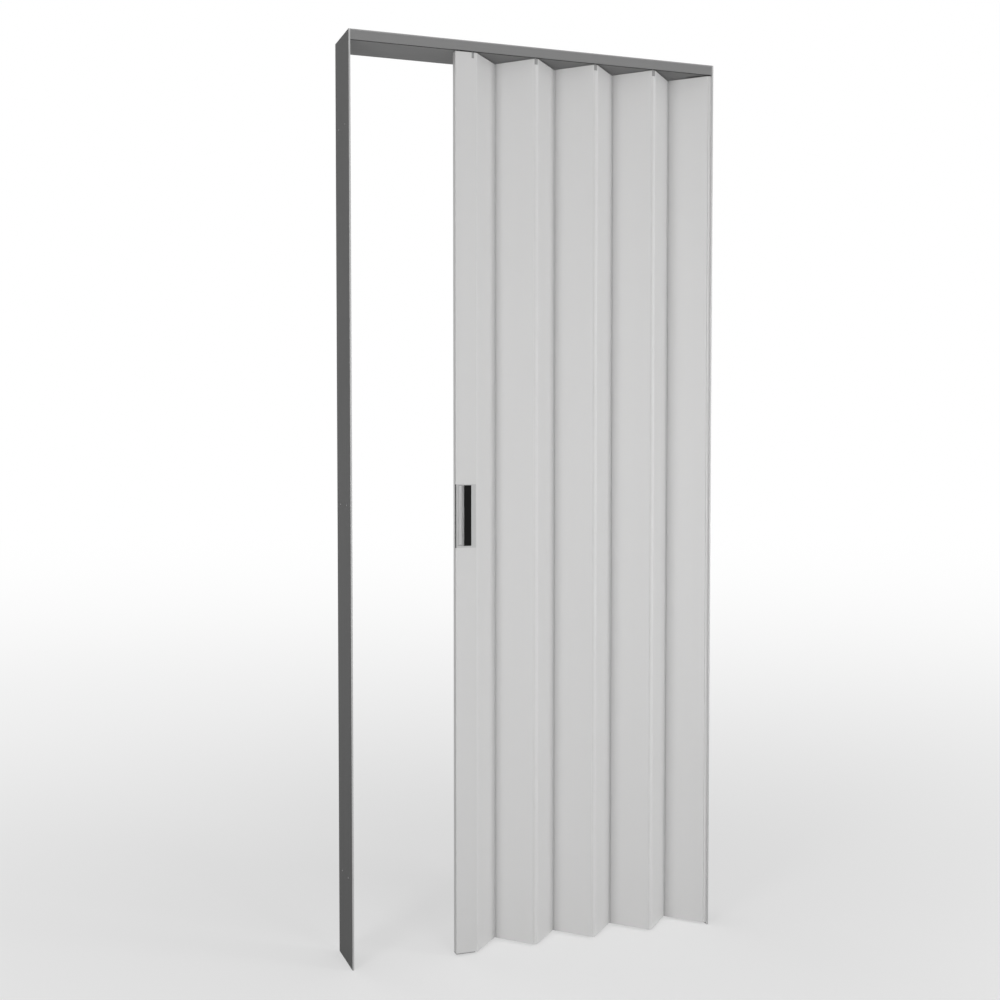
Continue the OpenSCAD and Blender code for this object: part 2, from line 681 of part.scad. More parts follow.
module handle_cup() color(CUP_COLOUR) placed() translate([post_x, post_front, 0]) difference() {
    union() {
        translate([rim_inset, -rim_t, handle_low]) linear_extrude(handle_h)
            polygon([[rim_bevel, 0], [rim_w - rim_bevel, 0], [rim_w, rim_bevel], [rim_w, rim_t],
                [0, rim_t], [0, rim_bevel]]);
        translate([0, 0, scoop_low - cup_wall]) linear_extrude(cup_h) cup_section();
        for (z = handle_screws_z) translate([handle_screw_x, scoop_d, z]) rotate([-90, 0, 0])
            cylinder(r = boss_r, h = post_t - post_wall - scoop_d - cup_fit);
    }
    translate([0, 0, scoop_low]) linear_extrude(scoop_top - scoop_low) scoop_section();
    translate([grip_x + grip_w / 2, grip_y - post_front + grip_t / 2, scoop_low - cup_wall - past])
        cylinder(r = spigot_r + spigot_fit, h = cup_h + 2 * past);
    for (z = handle_screws_z) translate([handle_screw_x, post_t, z]) rotate([90, 0, 0])
        cylinder(r = screw_r + screw_fit, h = handle_screw_len + screw_short);
}

module grip_bar() color(DARK_COLOUR) placed() translate([post_x + grip_x, grip_y, 0]) {
    translate([0, 0, scoop_low + grip_fit]) linear_extrude(scoop_top - scoop_low - 2 * grip_fit)
        polygon([[grip_bevel, 0], [grip_w - grip_bevel, 0], [grip_w, grip_bevel],
            [grip_w, grip_t - grip_back_bevel], [grip_w - grip_back_bevel, grip_t],
            [grip_back_bevel, grip_t], [0, grip_t - grip_back_bevel], [0, grip_bevel]]);
    translate([grip_w / 2, grip_t / 2, scoop_low - cup_wall + grip_fit])
        cylinder(r = spigot_r, h = cup_h - 2 * grip_fit);
}

module handle_screws() color(STEEL_COLOUR) placed() for (z = handle_screws_z)
    translate([post_x + handle_screw_x, post_back, z]) rotate([90, 0, 0]) pan_screw(handle_screw_len);

left_jamb();
right_jamb();
top_board();
head_track();
jamb_screws();
track_screws();
fixing_profile();
fixing_screws();
track_buffer();
slat(1);  // slat_1
slat(2);  // slat_2
slat(3);  // slat_3
slat(4);  // slat_4
slat(5);  // slat_5
slat(6);  // slat_6
slat(7);  // slat_7
slat(8);  // slat_8
back_strip(2);  // back_strip_2
front_strip(3);  // front_strip_3
back_strip(4);  // back_strip_4
front_strip(5);  // front_strip_5
back_strip(6);  // back_strip_6
front_strip(7);  // front_strip_7
back_strip(8);  // back_strip_8
hanger(3);  // hanger_3
hanger(5);  // hanger_5
hanger(7);  // hanger_7
lead_hanger();
axle(strip_x(3));  // axle_3
axle(strip_x(5));  // axle_5
axle(strip_x(7));  // axle_7
axle(post_x + lead_stem_left);  // lead_axle_left
axle(post_x + lead_stem_right);  // lead_axle_right
wheels(strip_x(3));  // wheels_3
wheels(strip_x(5));  // wheels_5
wheels(strip_x(7));  // wheels_7
wheels(post_x + lead_stem_left);  // lead_wheels_left
wheels(post_x + lead_stem_right);  // lead_wheels_right
lead_post();
foot_plug();
plug_screws();
handle_cup();
grip_bar();
handle_screws();
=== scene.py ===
# %% [markdown]
# # Accordion door
# This lesson dresses a folding door that is already built as solids. The door hangs in a slim metal
# frame: eight hollow slats fold to and fro, narrow hinge strips join them, and a flat post with a
# flush pull leads the curtain. The solids give every size and every joint. Here we give the visible
# pieces the soft edges and the finishes of the real thing, then light and photograph them.

# %% Load the solids
import json
import math
import bpy
import numpy as np
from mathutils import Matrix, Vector, geometry


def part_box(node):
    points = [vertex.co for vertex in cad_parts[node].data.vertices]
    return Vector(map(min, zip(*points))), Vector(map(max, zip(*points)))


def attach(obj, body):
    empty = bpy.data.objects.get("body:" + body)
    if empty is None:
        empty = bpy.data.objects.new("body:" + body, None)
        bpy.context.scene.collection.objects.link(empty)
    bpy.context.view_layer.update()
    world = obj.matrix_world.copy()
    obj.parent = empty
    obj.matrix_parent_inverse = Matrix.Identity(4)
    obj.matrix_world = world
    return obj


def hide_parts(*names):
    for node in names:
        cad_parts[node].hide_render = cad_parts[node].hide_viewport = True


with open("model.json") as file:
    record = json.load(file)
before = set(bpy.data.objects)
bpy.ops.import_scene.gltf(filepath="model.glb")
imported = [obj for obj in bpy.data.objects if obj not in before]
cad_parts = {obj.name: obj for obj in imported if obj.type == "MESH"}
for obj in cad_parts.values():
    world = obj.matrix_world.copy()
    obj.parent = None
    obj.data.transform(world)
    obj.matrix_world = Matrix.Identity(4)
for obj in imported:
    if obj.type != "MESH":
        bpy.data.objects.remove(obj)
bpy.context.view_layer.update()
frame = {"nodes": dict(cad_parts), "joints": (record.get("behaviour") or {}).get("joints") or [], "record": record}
bodies = frame["record"]["behaviour"]["bodies"]
body_of = {node: body for body, nodes in bodies.items() for node in nodes}
slot_of = {part["node"]: part["material_slot"] for part in frame["record"]["subparts"]}
joint_at = {joint["name"]: np.array(joint["pos_m"]) for joint in frame["joints"]}

# %% [markdown]
# ## The camera
# The camera comes first, because every later choice is judged through it. It stands to the left of
# the door, a little above the handle, and looks slightly down. Its place was found by matching the
# corners of the frame and the tips of the folds, so it is written as plain numbers.

# %% Place the camera
EYE_AT = (-1.16610, -3.06976, 1.18822)
LOOKS_DOWN, LOOKS_RIGHT = 2.3299, 19.5895
eye = bpy.data.objects.new("eye", bpy.data.cameras.new("eye"))
bpy.context.scene.collection.objects.link(eye)
eye.location = EYE_AT
eye.rotation_euler = (math.radians(90 - LOOKS_DOWN), 0, math.radians(-LOOKS_RIGHT))
eye.data.sensor_width = 36
eye.data.lens = 49.71
eye.data.clip_start = 0.05
eye.data.dof.use_dof = False
bpy.context.scene.camera = eye
print("camera at", tuple(round(v, 3) for v in eye.location), "lens", eye.data.lens, "mm")

# %% [markdown]
# ## Writing finishes as sums
# A finish is a graph of nodes. Wiring nodes one by one is slow to read, so one small class wraps an
# output of a node: arithmetic between wires adds the Math nodes, and `make` adds any other node.

# %% A wire that can be added, multiplied and mixed
class Wire:
    """An output of a node. Arithmetic on it adds Math nodes to the same material."""

    def __init__(self, socket):
        self.socket = socket

    def make(self, kind, settings=None, values=None, out=0):
        """Adds a node: its settings are set first, then its sockets get their values or links.
        `out` is the number or the name of the output to go on with."""
        tree = self.socket.id_data
        node = tree.nodes.new("ShaderNode" + kind)
        for name, value in (settings or {}).items():
            setattr(node, name, value)
        for name, value in (values or {}).items():
            if isinstance(value, Wire):
                tree.links.new(value.socket, node.inputs[name])
            else:
                node.inputs[name].default_value = value
        return Wire(node.outputs[out])

    def sum_with(self, operation, first, second):
        return self.make("Math", {"operation": operation}, {0: first, 1: second})

    def __add__(self, other):
        return self.sum_with("ADD", self, other)

    __radd__ = __add__

    def __sub__(self, other):
        return self.sum_with("SUBTRACT", self, other)

    def __rsub__(self, other):
        return self.sum_with("SUBTRACT", other, self)

    def __mul__(self, other):
        return self.sum_with("MULTIPLY", self, other)

    __rmul__ = __mul__

    def stretched(self, x, y, z):
        """The same place with each of its directions made longer or shorter."""
        return self.make("VectorMath", {"operation": "MULTIPLY"}, {0: self, 1: (x, y, z)})

    def streaked(self, along, across, lengthwise):
        """The place stretched so that a noise has `across` waves per metre across the direction
        x, y or z that `along` names, and only `lengthwise` waves per metre along it."""
        return self.stretched(*[lengthwise if k == along else across for k in "xyz"])

    def noise(self, scale, detail=2.0, rough=0.5):
        """Soft random values round 0.5, with about `scale` waves per unit of the place."""
        return self.make("TexNoise", None, {"Vector": self, "Scale": scale, "Detail": detail,
                                            "Roughness": rough})

    def between(self, low, high):
        """Low where the wire is 0 and high where it is 1, and no further."""
        return self.make("MapRange", None, {"Value": self, "To Min": low, "To Max": high})

    def fades(self, none, full):
        """Soft step: 0 where the wire is at `none`, 1 where it is at `full`."""
        return self.make("MapRange", {"interpolation_type": "SMOOTHSTEP"},
                         {"Value": self, "From Min": none, "From Max": full})

    def axis(self, k):
        """The x, y or z of a place or a normal, for k = 0, 1 or 2."""
        return self.make("SeparateXYZ", None, {"Vector": self}, out=k)

    def away_from(self, x, y, z):
        """Distance of the place from a point."""
        return self.make("VectorMath", {"operation": "DISTANCE"}, {0: self, 1: (x, y, z)}, out=1)

    def blend(self, first, second):
        """The first colour where the wire is 0 and the second where it is 1."""
        return self.make("Mix", {"data_type": "RGBA"}, {"Factor": self, 6: first, 7: second}, out=2)

print("wires ready")

# %% Start a finish
def grey(level, warm=0.0):
    """A grey; `warm` adds a little red and takes as much blue."""
    return (level * (1 + warm), level, level * (1 - warm), 1)

def finish(name, metallic=0.0, coat=0.0, coat_rough=0.2, level=0.5, edge=1.0):
    """A new material; gives its shader node and the wire of the place on the object. `level` is the
    strength of its reflection, and `edge` the tint of that reflection at grazing angles."""
    material = bpy.data.materials.new(name)
    material.use_nodes = True
    tree = material.node_tree
    shader = tree.nodes["Principled BSDF"]
    for socket, value in {"Metallic": metallic, "Coat Weight": coat, "Coat Roughness": coat_rough,
                          "Specular IOR Level": level, "Specular Tint": grey(edge)}.items():
        shader.inputs[socket].default_value = value
    place = Wire(tree.nodes.new("ShaderNodeTexCoord").outputs["Object"])
    return material, shader, place

def feed(shader, colour, rough, height, depth):
    """Links what varies: colour, roughness, and a height that Bump turns into a normal."""
    bump = height.make("Bump", None, {"Height": height, "Distance": depth, "Strength": 1.0})
    for wire, socket in ((colour, "Base Color"), (rough, "Roughness"), (bump, "Normal")):
        shader.id_data.links.new(wire.socket, shader.inputs[socket])

finishes = {}
print("finish helpers ready")

# %% [markdown]
# ## White slats
# The slats are hard white plastic pushed through a die. Fresh from the tool it is satin, with very
# faint lines and bands along its length and a slow waviness that only reflections show. Noises that
# are squeezed along Z give the lines and the bands; a wide soft noise varies the gloss. Wear comes
# from use: the lowest hand's breadth is dulled by dust, and the post is polished round its pull.
# Waves are counted per metre, and the weights in each sum were set.

# %% Satin white plastic for the slats and the lead post
DUST_TOP = 0.16
HAND_EDGE, HAND_CORE = 0.20, 0.07

def extruded_plastic(name, tone, rough, line_depth, hand=None):
    """Colour = tone, darker with the slow noise, the bands and the dust; height = fine lines plus
    slow waves. `hand` is the point round which the surface is polished by use."""
    material, shader, place = finish(name, coat=0.12, coat_rough=0.35)
    slow = place.streaked("z", 7, 1.3).noise(1.0, 3)
    bands = place.streaked("z", 170, 0.8).noise(1.0, 2)
    lines = place.streaked("z", 2400, 3).noise(1.0, 2)
    grain = place.noise(900, 2)
    dust = place.axis(2).fades(DUST_TOP, 0.0) * place.noise(45, 4, 0.6)
    dark = slow * 0.5 + bands * 0.3 + lines * 0.2 + dust * 0.5
    gloss = slow * 0.4 + bands * 0.3 + lines * 0.3 + dust
    if hand:
        wear_and_highlight = place.away_from(*hand).fades(HAND_EDGE, HAND_CORE) * place.noise(28, 4, 0.6)
        dark, gloss = dark + wear_and_highlight * 0.5, gloss - wear_and_highlight * 0.9
    feed(shader,
         colour=dark.blend(grey(tone, 0.001), grey(tone * 0.955, 0.004)),
         rough=gloss.between(rough - 0.06, rough + 0.08),
         height=lines * 0.5 + bands * 0.8 + slow * 2.0 + grain * 0.15, depth=line_depth)
    return material

# The strips' and the post's whites are set darker than the slats': painted shade, so that their front faces, which
# face the lamps more squarely, render about as bright as the slats.
finishes["slat_white"] = extruded_plastic("satin white slat", 0.655, 0.40, 0.00004)
finishes["strip_white"] = extruded_plastic("soft white strip", 0.60, 0.40, 0.00002)
pull_at = tuple((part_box("handle_cup")[0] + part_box("handle_cup")[1]) / 2)
post_white_painted_darker = extruded_plastic("satin white post", 0.555, 0.42, 0.00004, pull_at)
print("white plastics made")

# %% [markdown]
# ## Anodised frame
# The frame is satin anodised aluminium. It is drawn and brushed along its length, so its streaks
# run up the jambs and along the head. Anodising leaves a matt grey film, so each finish is partly
# film and partly bare metal, which has no colour beside its reflection. The narrow edges at the
# front and the back carry a painted highlight, a lighter tone, and so does a thin strip just inside
# the jambs' front edge. The inside of the track is painted near-black: painted shade in its slot
# and channel.

# %% Satin aluminium, brushed along one direction
# Reach and tone of the painted highlight on the jambs' inner faces, just behind their front.
INNER_HIGHLIGHT_FULL, INNER_HIGHLIGHT_END, INNER_HIGHLIGHT_TONE = 0.005, 0.007, 0.70
# Tone of the painted shade inside the track.
TRACK_SHADE_TONE = 0.02

def brushed_metal(name, tone, rough, along, edge=0.5, bare=1.0, level=0.5, wear_and_highlight=None,
                  front=None, painted_track_shade=None):
    """Streaks = noise squeezed along the grain; they vary the roughness, the tone and the height.
    `bare` is the share of bare metal; the rest is the film. Faces that look to the front or to the
    back are narrow edges; where an edge tone is given they take it as a painted highlight. `front`
    is the y of a jamb's front: close behind it, the face that looks to the door's middle is painted
    lighter, a painted highlight. The last argument is (y, z): behind y and above z lies the inside of
    the track, painted near-black as painted shade."""
    material, shader, place = finish(name, metallic=bare, edge=edge, level=level)
    streaks = place.streaked(along, 2600, 9).noise(1.0, 3, 0.6)
    strokes = place.streaked(along, 260, 2).noise(1.0, 3, 0.6)
    cloud = place.noise(5.0, 3)
    shade = streaks * 0.4 + strokes * 0.35 + cloud * 0.25
    colour = shade.blend(grey(tone * 1.14), grey(tone * 0.84))
    # Painted highlight: faces that look to the front or the back take a lighter tone.
    if wear_and_highlight:
        facing = place.make("NewGeometry", out="Normal").axis(1)
        colour = (facing * facing).fades(0.3, 0.7).blend(colour, grey(wear_and_highlight))
    # Painted highlight: a lighter strip on a jamb's inner face just behind its front edge.
    if front is not None:
        sideways = place.make("NewGeometry", out="Normal").axis(0)
        inward = (sideways * place.axis(0)).fades(-0.2, -0.4)
        near = place.axis(1).fades(front + INNER_HIGHLIGHT_END, front + INNER_HIGHLIGHT_FULL)
        colour = (inward * near).blend(colour, grey(INNER_HIGHLIGHT_TONE))
    # Painted shade: the slot and the channel inside the track are painted near-black.
    if painted_track_shade:
        behind, above = (place.make("Math", {"operation": "GREATER_THAN"}, {
            0: place.axis(k), 1: limit}) for k, limit in zip((1, 2), painted_track_shade))
        colour = (behind * above).blend(colour, grey(TRACK_SHADE_TONE))
    feed(shader,
         colour=colour,
         rough=(streaks * 0.4 + strokes * 0.3 + cloud * 0.3).between(rough - 0.08, rough + 0.11),
         height=streaks + strokes * 0.6, depth=0.000012)
    return material

head_front, track_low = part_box("head_track")[0].y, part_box("head_track")[0].z
# The jambs' front and back edges, and a strip just inside their front, get painted highlights.
finishes["frame_metal"] = brushed_metal("anodised jamb", 0.15, 0.36, "z", edge=0.3, bare=0.6,
                                        level=0.06, wear_and_highlight=0.45, front=head_front)
head_look = dict(tone=0.22, rough=0.34, along="x", edge=0.25, bare=0.3, level=0.06)
# The top board's front and back edges get a painted highlight.
head_metal = brushed_metal("anodised head", wear_and_highlight=0.31, **head_look)
# The inside of the track gets painted shade.
track_metal = brushed_metal("anodised track", painted_track_shade=(head_front + 0.001, track_low + 0.0013),
                            **head_look)
finishes["steel"] = brushed_metal("zinc plated steel", 0.55, 0.30, "x")
print("metals made")

# %% [markdown]
# ## Moulded plastics and rubber
# Hangers, wheels and the pull are moulded. A mould leaves a fine, even grain, not lines, so these
# finishes use one small noise in all directions. Each differs in tone, gloss and size of grain. The
# pull shows its use: fingers polish its middle. Its cup is painted lighter the deeper it lies: painted
# light that lifts the shade behind the bar.

# %% Moulded pieces
FINGER_EDGE, FINGER_CORE = 0.06, 0.015
# Depths and tone of the painted light in the pull's cup.
PAINTED_LIGHT_START, PAINTED_LIGHT_FULL, PAINTED_LIGHT_TONE = 0.002, 0.009, 0.86

def moulded(name, tone, rough, grain_size, grain_depth, warm=0.0, level=0.5, hand=None, face=None):
    """Height = an even grain; roughness rises where the grain is high; tone drifts slowly. Round
    the point `hand` the fingers have polished the grain away. `face` is the y of the surface that
    the piece is let into: the deeper behind it, the lighter its colour, as painted light."""
    material, shader, place = finish(name, level=level)
    grain = place.noise(1 / grain_size, 3, 0.6)
    slow = place.noise(30, 2)
    gloss, height = grain * 0.6 + slow * 0.4, grain
    if hand:
        worn = place.away_from(*hand).fades(FINGER_EDGE, FINGER_CORE)
        gloss, height = gloss - worn * 0.5, height * (1.0 - worn * 0.7)
    colour = (slow * 0.6 + grain * 0.4).blend(grey(tone * 1.04, warm), grey(tone * 0.93, warm))
    # Painted light: the deeper the surface lies behind `face`, the lighter its colour.
    if face is not None:
        slope = place.axis(1).fades(face + PAINTED_LIGHT_START, face + PAINTED_LIGHT_FULL)
        colour = slope.blend(colour, grey(PAINTED_LIGHT_TONE))
    feed(shader, colour, gloss.between(rough - 0.06, rough + 0.08), height, grain_depth)
    return material

finishes["hanger_grey"] = moulded("grey hanger plastic", 0.26, 0.48, 0.0006, 0.00003)
finishes["wheel_nylon"] = moulded("wheel nylon", 0.74, 0.42, 0.0008, 0.00002, warm=0.03)
# The pull's cup gets painted light, lighter the deeper it lies.
finishes["handle_grey"] = moulded("light grey pull", 0.44, 0.42, 0.0004, 0.00002, hand=pull_at,
                                  face=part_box("lead_post")[0].y)
finishes["grip_black"] = moulded("satin black grip", 0.007, 0.36, 0.0005, 0.00002, level=0.06,
                                 hand=pull_at)
finishes["buffer_rubber"] = moulded("black rubber", 0.02, 0.62, 0.0007, 0.00004, level=0.2)
print("finishes:", sorted(finishes))

# %% Give every solid its finish
own_look = {"top_board": head_metal, "head_track": track_metal, "lead_post": post_white_painted_darker,
            "jamb_screws": finishes["frame_metal"]}

def look_of(node):
    """A node's own finish where it has one, otherwise the finish of its slot."""
    return own_look.get(node, finishes[slot_of[node]])

for name, solid in frame["nodes"].items():
    for slot in solid.material_slots:
        slot.material = look_of(name)
print("dressed", len(frame["nodes"]), "solids")

# %% [markdown]
# ## Outlines with soft corners
# Nearly every piece of this door is an outline carried along a straight line: it was extruded. Real
# extrusions have no sharp edge, and that soft edge is what catches the light. So an outline is
# given as open pieces laid end to end, and every corner between two pieces is rounded. Outlines
# are in millimetres.

# %% Draw an outline
MM = 0.001

def line(*points):
    return np.array(points, float)

def chain(*corners):
    """Straight pieces from each corner to the next."""
    return [line(a, b) for a, b in zip(corners, corners[1:])]

def arc(centre, radius, start, stop, step=12):
    """Points on a circle: centre + radius * (cos a, sin a), a going from start to stop degrees."""
    a = np.radians(np.linspace(start, stop, max(3, int(abs(stop - start) / step) + 1)))
    return np.array(centre) + radius * np.column_stack([np.cos(a), np.sin(a)])

def soft_loop(pieces, soft, steps=5):
    """Closed outline. Every piece is cut back by `soft` at both ends, but by no more than 0.45 of
    its length, and the corner C between the cut ends A and B is bridged by
    (1-t)^2 A + 2t(1-t) C + t^2 B, which leaves along both sides."""
    cut = []
    for piece in pieces:
        run = np.concatenate([[0], np.cumsum(np.hypot(*np.diff(piece, axis=0).T))])
        room = min(soft, 0.45 * run[-1])
        clear = room * 1.01
        kept = run[(run > clear) & (run < run[-1] - clear)]
        at = np.concatenate([[room], kept, [run[-1] - room]])
        cut.append(np.column_stack([np.interp(at, run, piece[:, k]) for k in (0, 1)]))
    t = np.linspace(0, 1, steps)[1:-1, None]
    course = []
    for here, following, piece in zip(cut, cut[1:] + cut[:1], pieces):
        bridge = (1 - t) ** 2 * here[-1] + 2 * t * (1 - t) * piece[-1] + t ** 2 * following[0]
        course += [here, bridge]
    return np.concatenate(course)

def box_loop(x0, y0, x1, y1, soft, steps=5):
    """Rectangle, counter-clockwise, with soft corners."""
    return soft_loop(chain((x0, y0), (x1, y0), (x1, y1), (x0, y1), (x0, y0)), soft, steps)

print("a soft square has", len(box_loop(0, 0, 1, 1, 0.1)), "points")

# %% [markdown]
# ## Carrying an outline along a line
# A wall point is outline(s) moved along the run by t. Near both ends the outline shrinks a little
# into its own material, so the ends are soft too. The ends are closed by triangles that leave the
# holes open, so a hollow slat is seen to be hollow. What comes out is a shell: points, then groups
# of faces. A piece is made of one shell or more.

# %% Carry outlines along a run
def shrink(loop, by):
    """Moves each point by `by` to the left of its direction, which is into the material."""
    ahead = np.roll(loop, -1, 0) - np.roll(loop, 1, 0)
    left = np.column_stack([-ahead[:, 1], ahead[:, 0]])
    return loop + by * left / np.maximum(np.hypot(*left.T), 1e-12)[:, None]

def cap_triangles(rims):
    """Triangles, all counter-clockwise, that fill the first rim and leave the others open."""
    flat = np.concatenate(rims)
    rings = [[Vector((*p, 0)) for p in rim] for rim in rims]
    tri = np.array(geometry.tessellate_polygon(rings))
    e1, e2 = flat[tri[:, 1]] - flat[tri[:, 0]], flat[tri[:, 2]] - flat[tri[:, 0]]
    wrong = e1[:, 0] * e2[:, 1] < e1[:, 1] * e2[:, 0]
    tri[wrong] = tri[wrong][:, ::-1]
    return tri

def carried(loops, start, stop, soft, u, v, w, origin, sinks=None):
    """Wall point = origin + a*u + b*v + t*w, for the outline point (a, b) and the height t. The
    outline shrinks by soft*(1 - sin) while t moves by soft*(1 - cos) at each end: a quarter circle.
    A hole with a sink k > 0 also widens by t - (stop - k) near the stop, and with k < 0 at the
    start. Loops, `soft` and sinks are in millimetres, start and stop in metres."""
    loops, soft = [loop * MM for loop in loops], soft * MM
    sinks = MM * (np.zeros(len(loops)) if sinks is None else np.array(sinks))
    q = np.radians(np.linspace(0, 90, 4))
    ends = np.concatenate([start + soft * (1 - np.cos(q)), stop - soft * (1 - np.cos(q[::-1]))])
    heights = np.unique(np.concatenate([ends, stop - sinks[sinks > 0], start - sinks[sinks < 0]]))
    rounding = np.interp(heights, ends, soft * np.concatenate([1 - np.sin(q), 1 - np.sin(q[::-1])]))
    u, v, w, origin = (np.array(k, float) for k in (u, v, w, origin))
    points, quads, lows, highs, first, last, base = [], [], [], [], [], [], 0
    for loop, sink in zip(loops, sinks):
        n, m = len(loop), len(heights)
        widened = np.maximum(0, sink - (stop - heights)) + np.maximum(0, start - sink - heights)
        flat = np.stack([shrink(loop, inset) for inset in rounding + widened])
        place = origin + flat[..., :1] * u + flat[..., 1:] * v + heights[:, None, None] * w
        points.append(place.reshape(-1, 3))
        k = base + np.arange(m * n).reshape(m, n)
        after = np.roll(k, -1, 1)
        quads.append(np.stack([k[:-1], after[:-1], after[1:], k[1:]], -1).reshape(-1, 4))
        for rims, ids, row in ((lows, first, 0), (highs, last, -1)):
            rims.append(flat[row])
            ids.append(k[row])
        base += n * m
    bottom = np.concatenate(first)[cap_triangles(lows)][:, ::-1]
    top = np.concatenate(last)[cap_triangles(highs)]
    return np.concatenate(points), np.concatenate(quads), bottom, top

def upright(loops, low, high, soft, at=(0, 0), turn=0.0):
    """Outlines turned by `turn` degrees about the point `at` and carried up from low to high."""
    c, s = math.cos(math.radians(turn)), math.sin(math.radians(turn))
    return carried(loops, low, high, soft, (c, s, 0), (-s, c, 0), (0, 0, 1), (at[0], at[1], 0))

def put_mesh(name, *shells):
    """A piece from shells, each given as its points and its groups of faces. It is shaded smooth,
    and its normals are weighted by the areas of its faces."""
    faces, base = [], 0
    for points, *groups in shells:
        faces += [tuple(face) for group in groups for face in (group + base).tolist()]
        base += len(points)
    mesh = bpy.data.meshes.new(name)
    mesh.from_pydata(np.concatenate([shell[0] for shell in shells]), [], faces)
    mesh.validate()
    mesh.polygons.foreach_set("use_smooth", np.ones(len(mesh.polygons), bool))
    piece = bpy.data.objects.new(name, mesh)
    bpy.context.scene.collection.objects.link(piece)
    even = piece.modifiers.new("even normals", "WEIGHTED_NORMAL")
    even.weight = 100
    return piece

def settle(piece, *nodes):
    """The piece stands for these solids: same body and finish; the solids are hidden."""
    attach(piece, body_of[nodes[0]])
    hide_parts(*nodes)
    piece.data.materials.append(look_of(nodes[0]))
    return piece

print("outlines can be carried")

# %% [markdown]
# ## The frame
# The jambs are flat bars with countersunk holes: those for the wall open to the inside, and those
# for the head's screws to the outside. The head is a thin board over an extruded track. The track's
# outline runs through the slot into the channel of the wheels; behind it lies a closed chamber,
# with three slit tubes under its roof that the screws through the jambs bite into.

# %% Jambs
# Columns are measured from the frame's front and rows from the floor; then radius and sink
WALL_COLUMNS, WALL_ROWS, WALL_R, WALL_SINK = (38, 98), (200, 1050, 1900), 2.75, 2.45
PORT_COLUMNS, PORT_ROW, PORT_R, PORT_SINK = (28, 71.25, 114.5), 2092.6, 1.95, 1.7
FLANGE_COLUMN, FLANGE_ROWS, FLANGE_R = 22, 94 + 472.875 * np.arange(5), 1.7

def ring(y, z, radius):
    """Round hole, clockwise, so that its material lies on the left."""
    return arc((y, z), radius, 360, 15, 15)

def jamb(name, node, outer_low):
    """A bar in the plane of y and z, carried along x; its holes have their sinks on either face.
    The jamb whose outer face isn't the low one also has the holes of the fixing profile."""
    lo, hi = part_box(node)
    holes = [(ring(y, z, WALL_R), WALL_SINK) for z in WALL_ROWS for y in WALL_COLUMNS]
    holes += [(ring(y, PORT_ROW, PORT_R), -PORT_SINK) for y in PORT_COLUMNS]
    if not outer_low:
        holes = [(loop, -sink) for loop, sink in holes]
        holes += [(ring(FLANGE_COLUMN, z, FLANGE_R), 0.0) for z in FLANGE_ROWS]
    bar = box_loop(0, 0, (hi.y - lo.y) / MM, hi.z / MM, 0.6)
    loops, sinks = zip((bar, 0.0), *holes)
    shell = carried(loops, 0, hi.x - lo.x, 0.35, (0, 1, 0), (0, 0, 1), (1, 0, 0), lo, sinks)
    return settle(put_mesh(name, shell), node)

jamb("left_flat_jamb", "left_jamb", True)
jamb("right_flat_jamb", "right_jamb", False)

# %% Top board and head track
TRACK_WALL, FASCIA_LIP, SLOT_HALF = 1.5, 0.8, 2.2

def along(name, node, loops, soft):
    """Outlines of y and z, measured from the frame's front, carried along x."""
    lo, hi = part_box(node)
    shell = carried(loops, lo.x, hi.x, soft, (0, 1, 0), (0, 0, 1), (1, 0, 0),
                    (0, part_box("left_jamb")[0].y, 0))
    return settle(put_mesh(name, shell), node)

lo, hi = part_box("top_board")
board = box_loop(0, lo.z / MM, (hi.y - lo.y) / MM, hi.z / MM, 0.5)
lo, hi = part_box("head_track")
face_z, top, back = lo.z / MM, hi.z / MM, (hi.y - lo.y) / MM
under = face_z + FASCIA_LIP
rail, roof = under + TRACK_WALL, top - TRACK_WALL
slot_at = joint_at["lead_turn"][1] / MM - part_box("left_jamb")[0].y / MM
channel = 2 * slot_at - TRACK_WALL

def track_outline():
    """Face, underside, slot, channel, slot, underside, back and roof."""
    wall, near, far = TRACK_WALL, slot_at - SLOT_HALF, slot_at + SLOT_HALF
    return soft_loop(chain(
        (0, face_z), (wall, face_z), (wall, under), (near, under), (near, rail), (wall, rail),
        (wall, roof), (channel, roof), (channel, rail), (far, rail), (far, under),
        (back, under), (back, top), (0, top), (0, face_z)), 0.3)

def chamber_outline(bore=1.7, outer=3.3, slit=0.7, bed=0.4):
    """Clockwise: up the front wall, along the roof and round each port, through its slit and round
    its bore, and down the back wall. A port is sunk into the roof by `bed`."""
    z, front, rear = roof - outer + bed, channel + TRACK_WALL, back - TRACK_WALL
    hang = math.degrees(math.asin((roof - z) / outer))
    beta, gamma = (math.degrees(math.asin(slit / r)) for r in (bore, outer))
    pieces, at = [line((front, rail), (front, roof))], (front, roof)
    for y in PORT_COLUMNS:
        left = arc((y, z), outer, 180 - hang, 270 - gamma)
        inside = arc((y, z), bore, 270 - beta, beta - 90)
        right = arc((y, z), outer, gamma - 90, hang)
        pieces += [line(at, left[0]), left, line(left[-1], inside[0]), inside,
                   line(inside[-1], right[0]), right]
        at = tuple(right[-1])
    return soft_loop(pieces + chain(at, (rear, roof), (rear, rail), (front, rail)), 0.25, 3)

along("thin_top_board", "top_board", [board], 0.2)
along("extruded_head_track", "head_track", [track_outline(), chamber_outline()], 0.1)
print("track outline:", len(track_outline()), "points, chamber:", len(chamber_outline()), "points")

# %% [markdown]
# ## Slats
# A slat is a flat hollow board. Each long edge is an open round knuckle: a tube with a mouth, which
# the bead of a hinge strip turns in. The mouths open to opposite faces, so neighbouring slats fold
# to and fro. Ribs split the inside into chambers, which show at the cut ends.

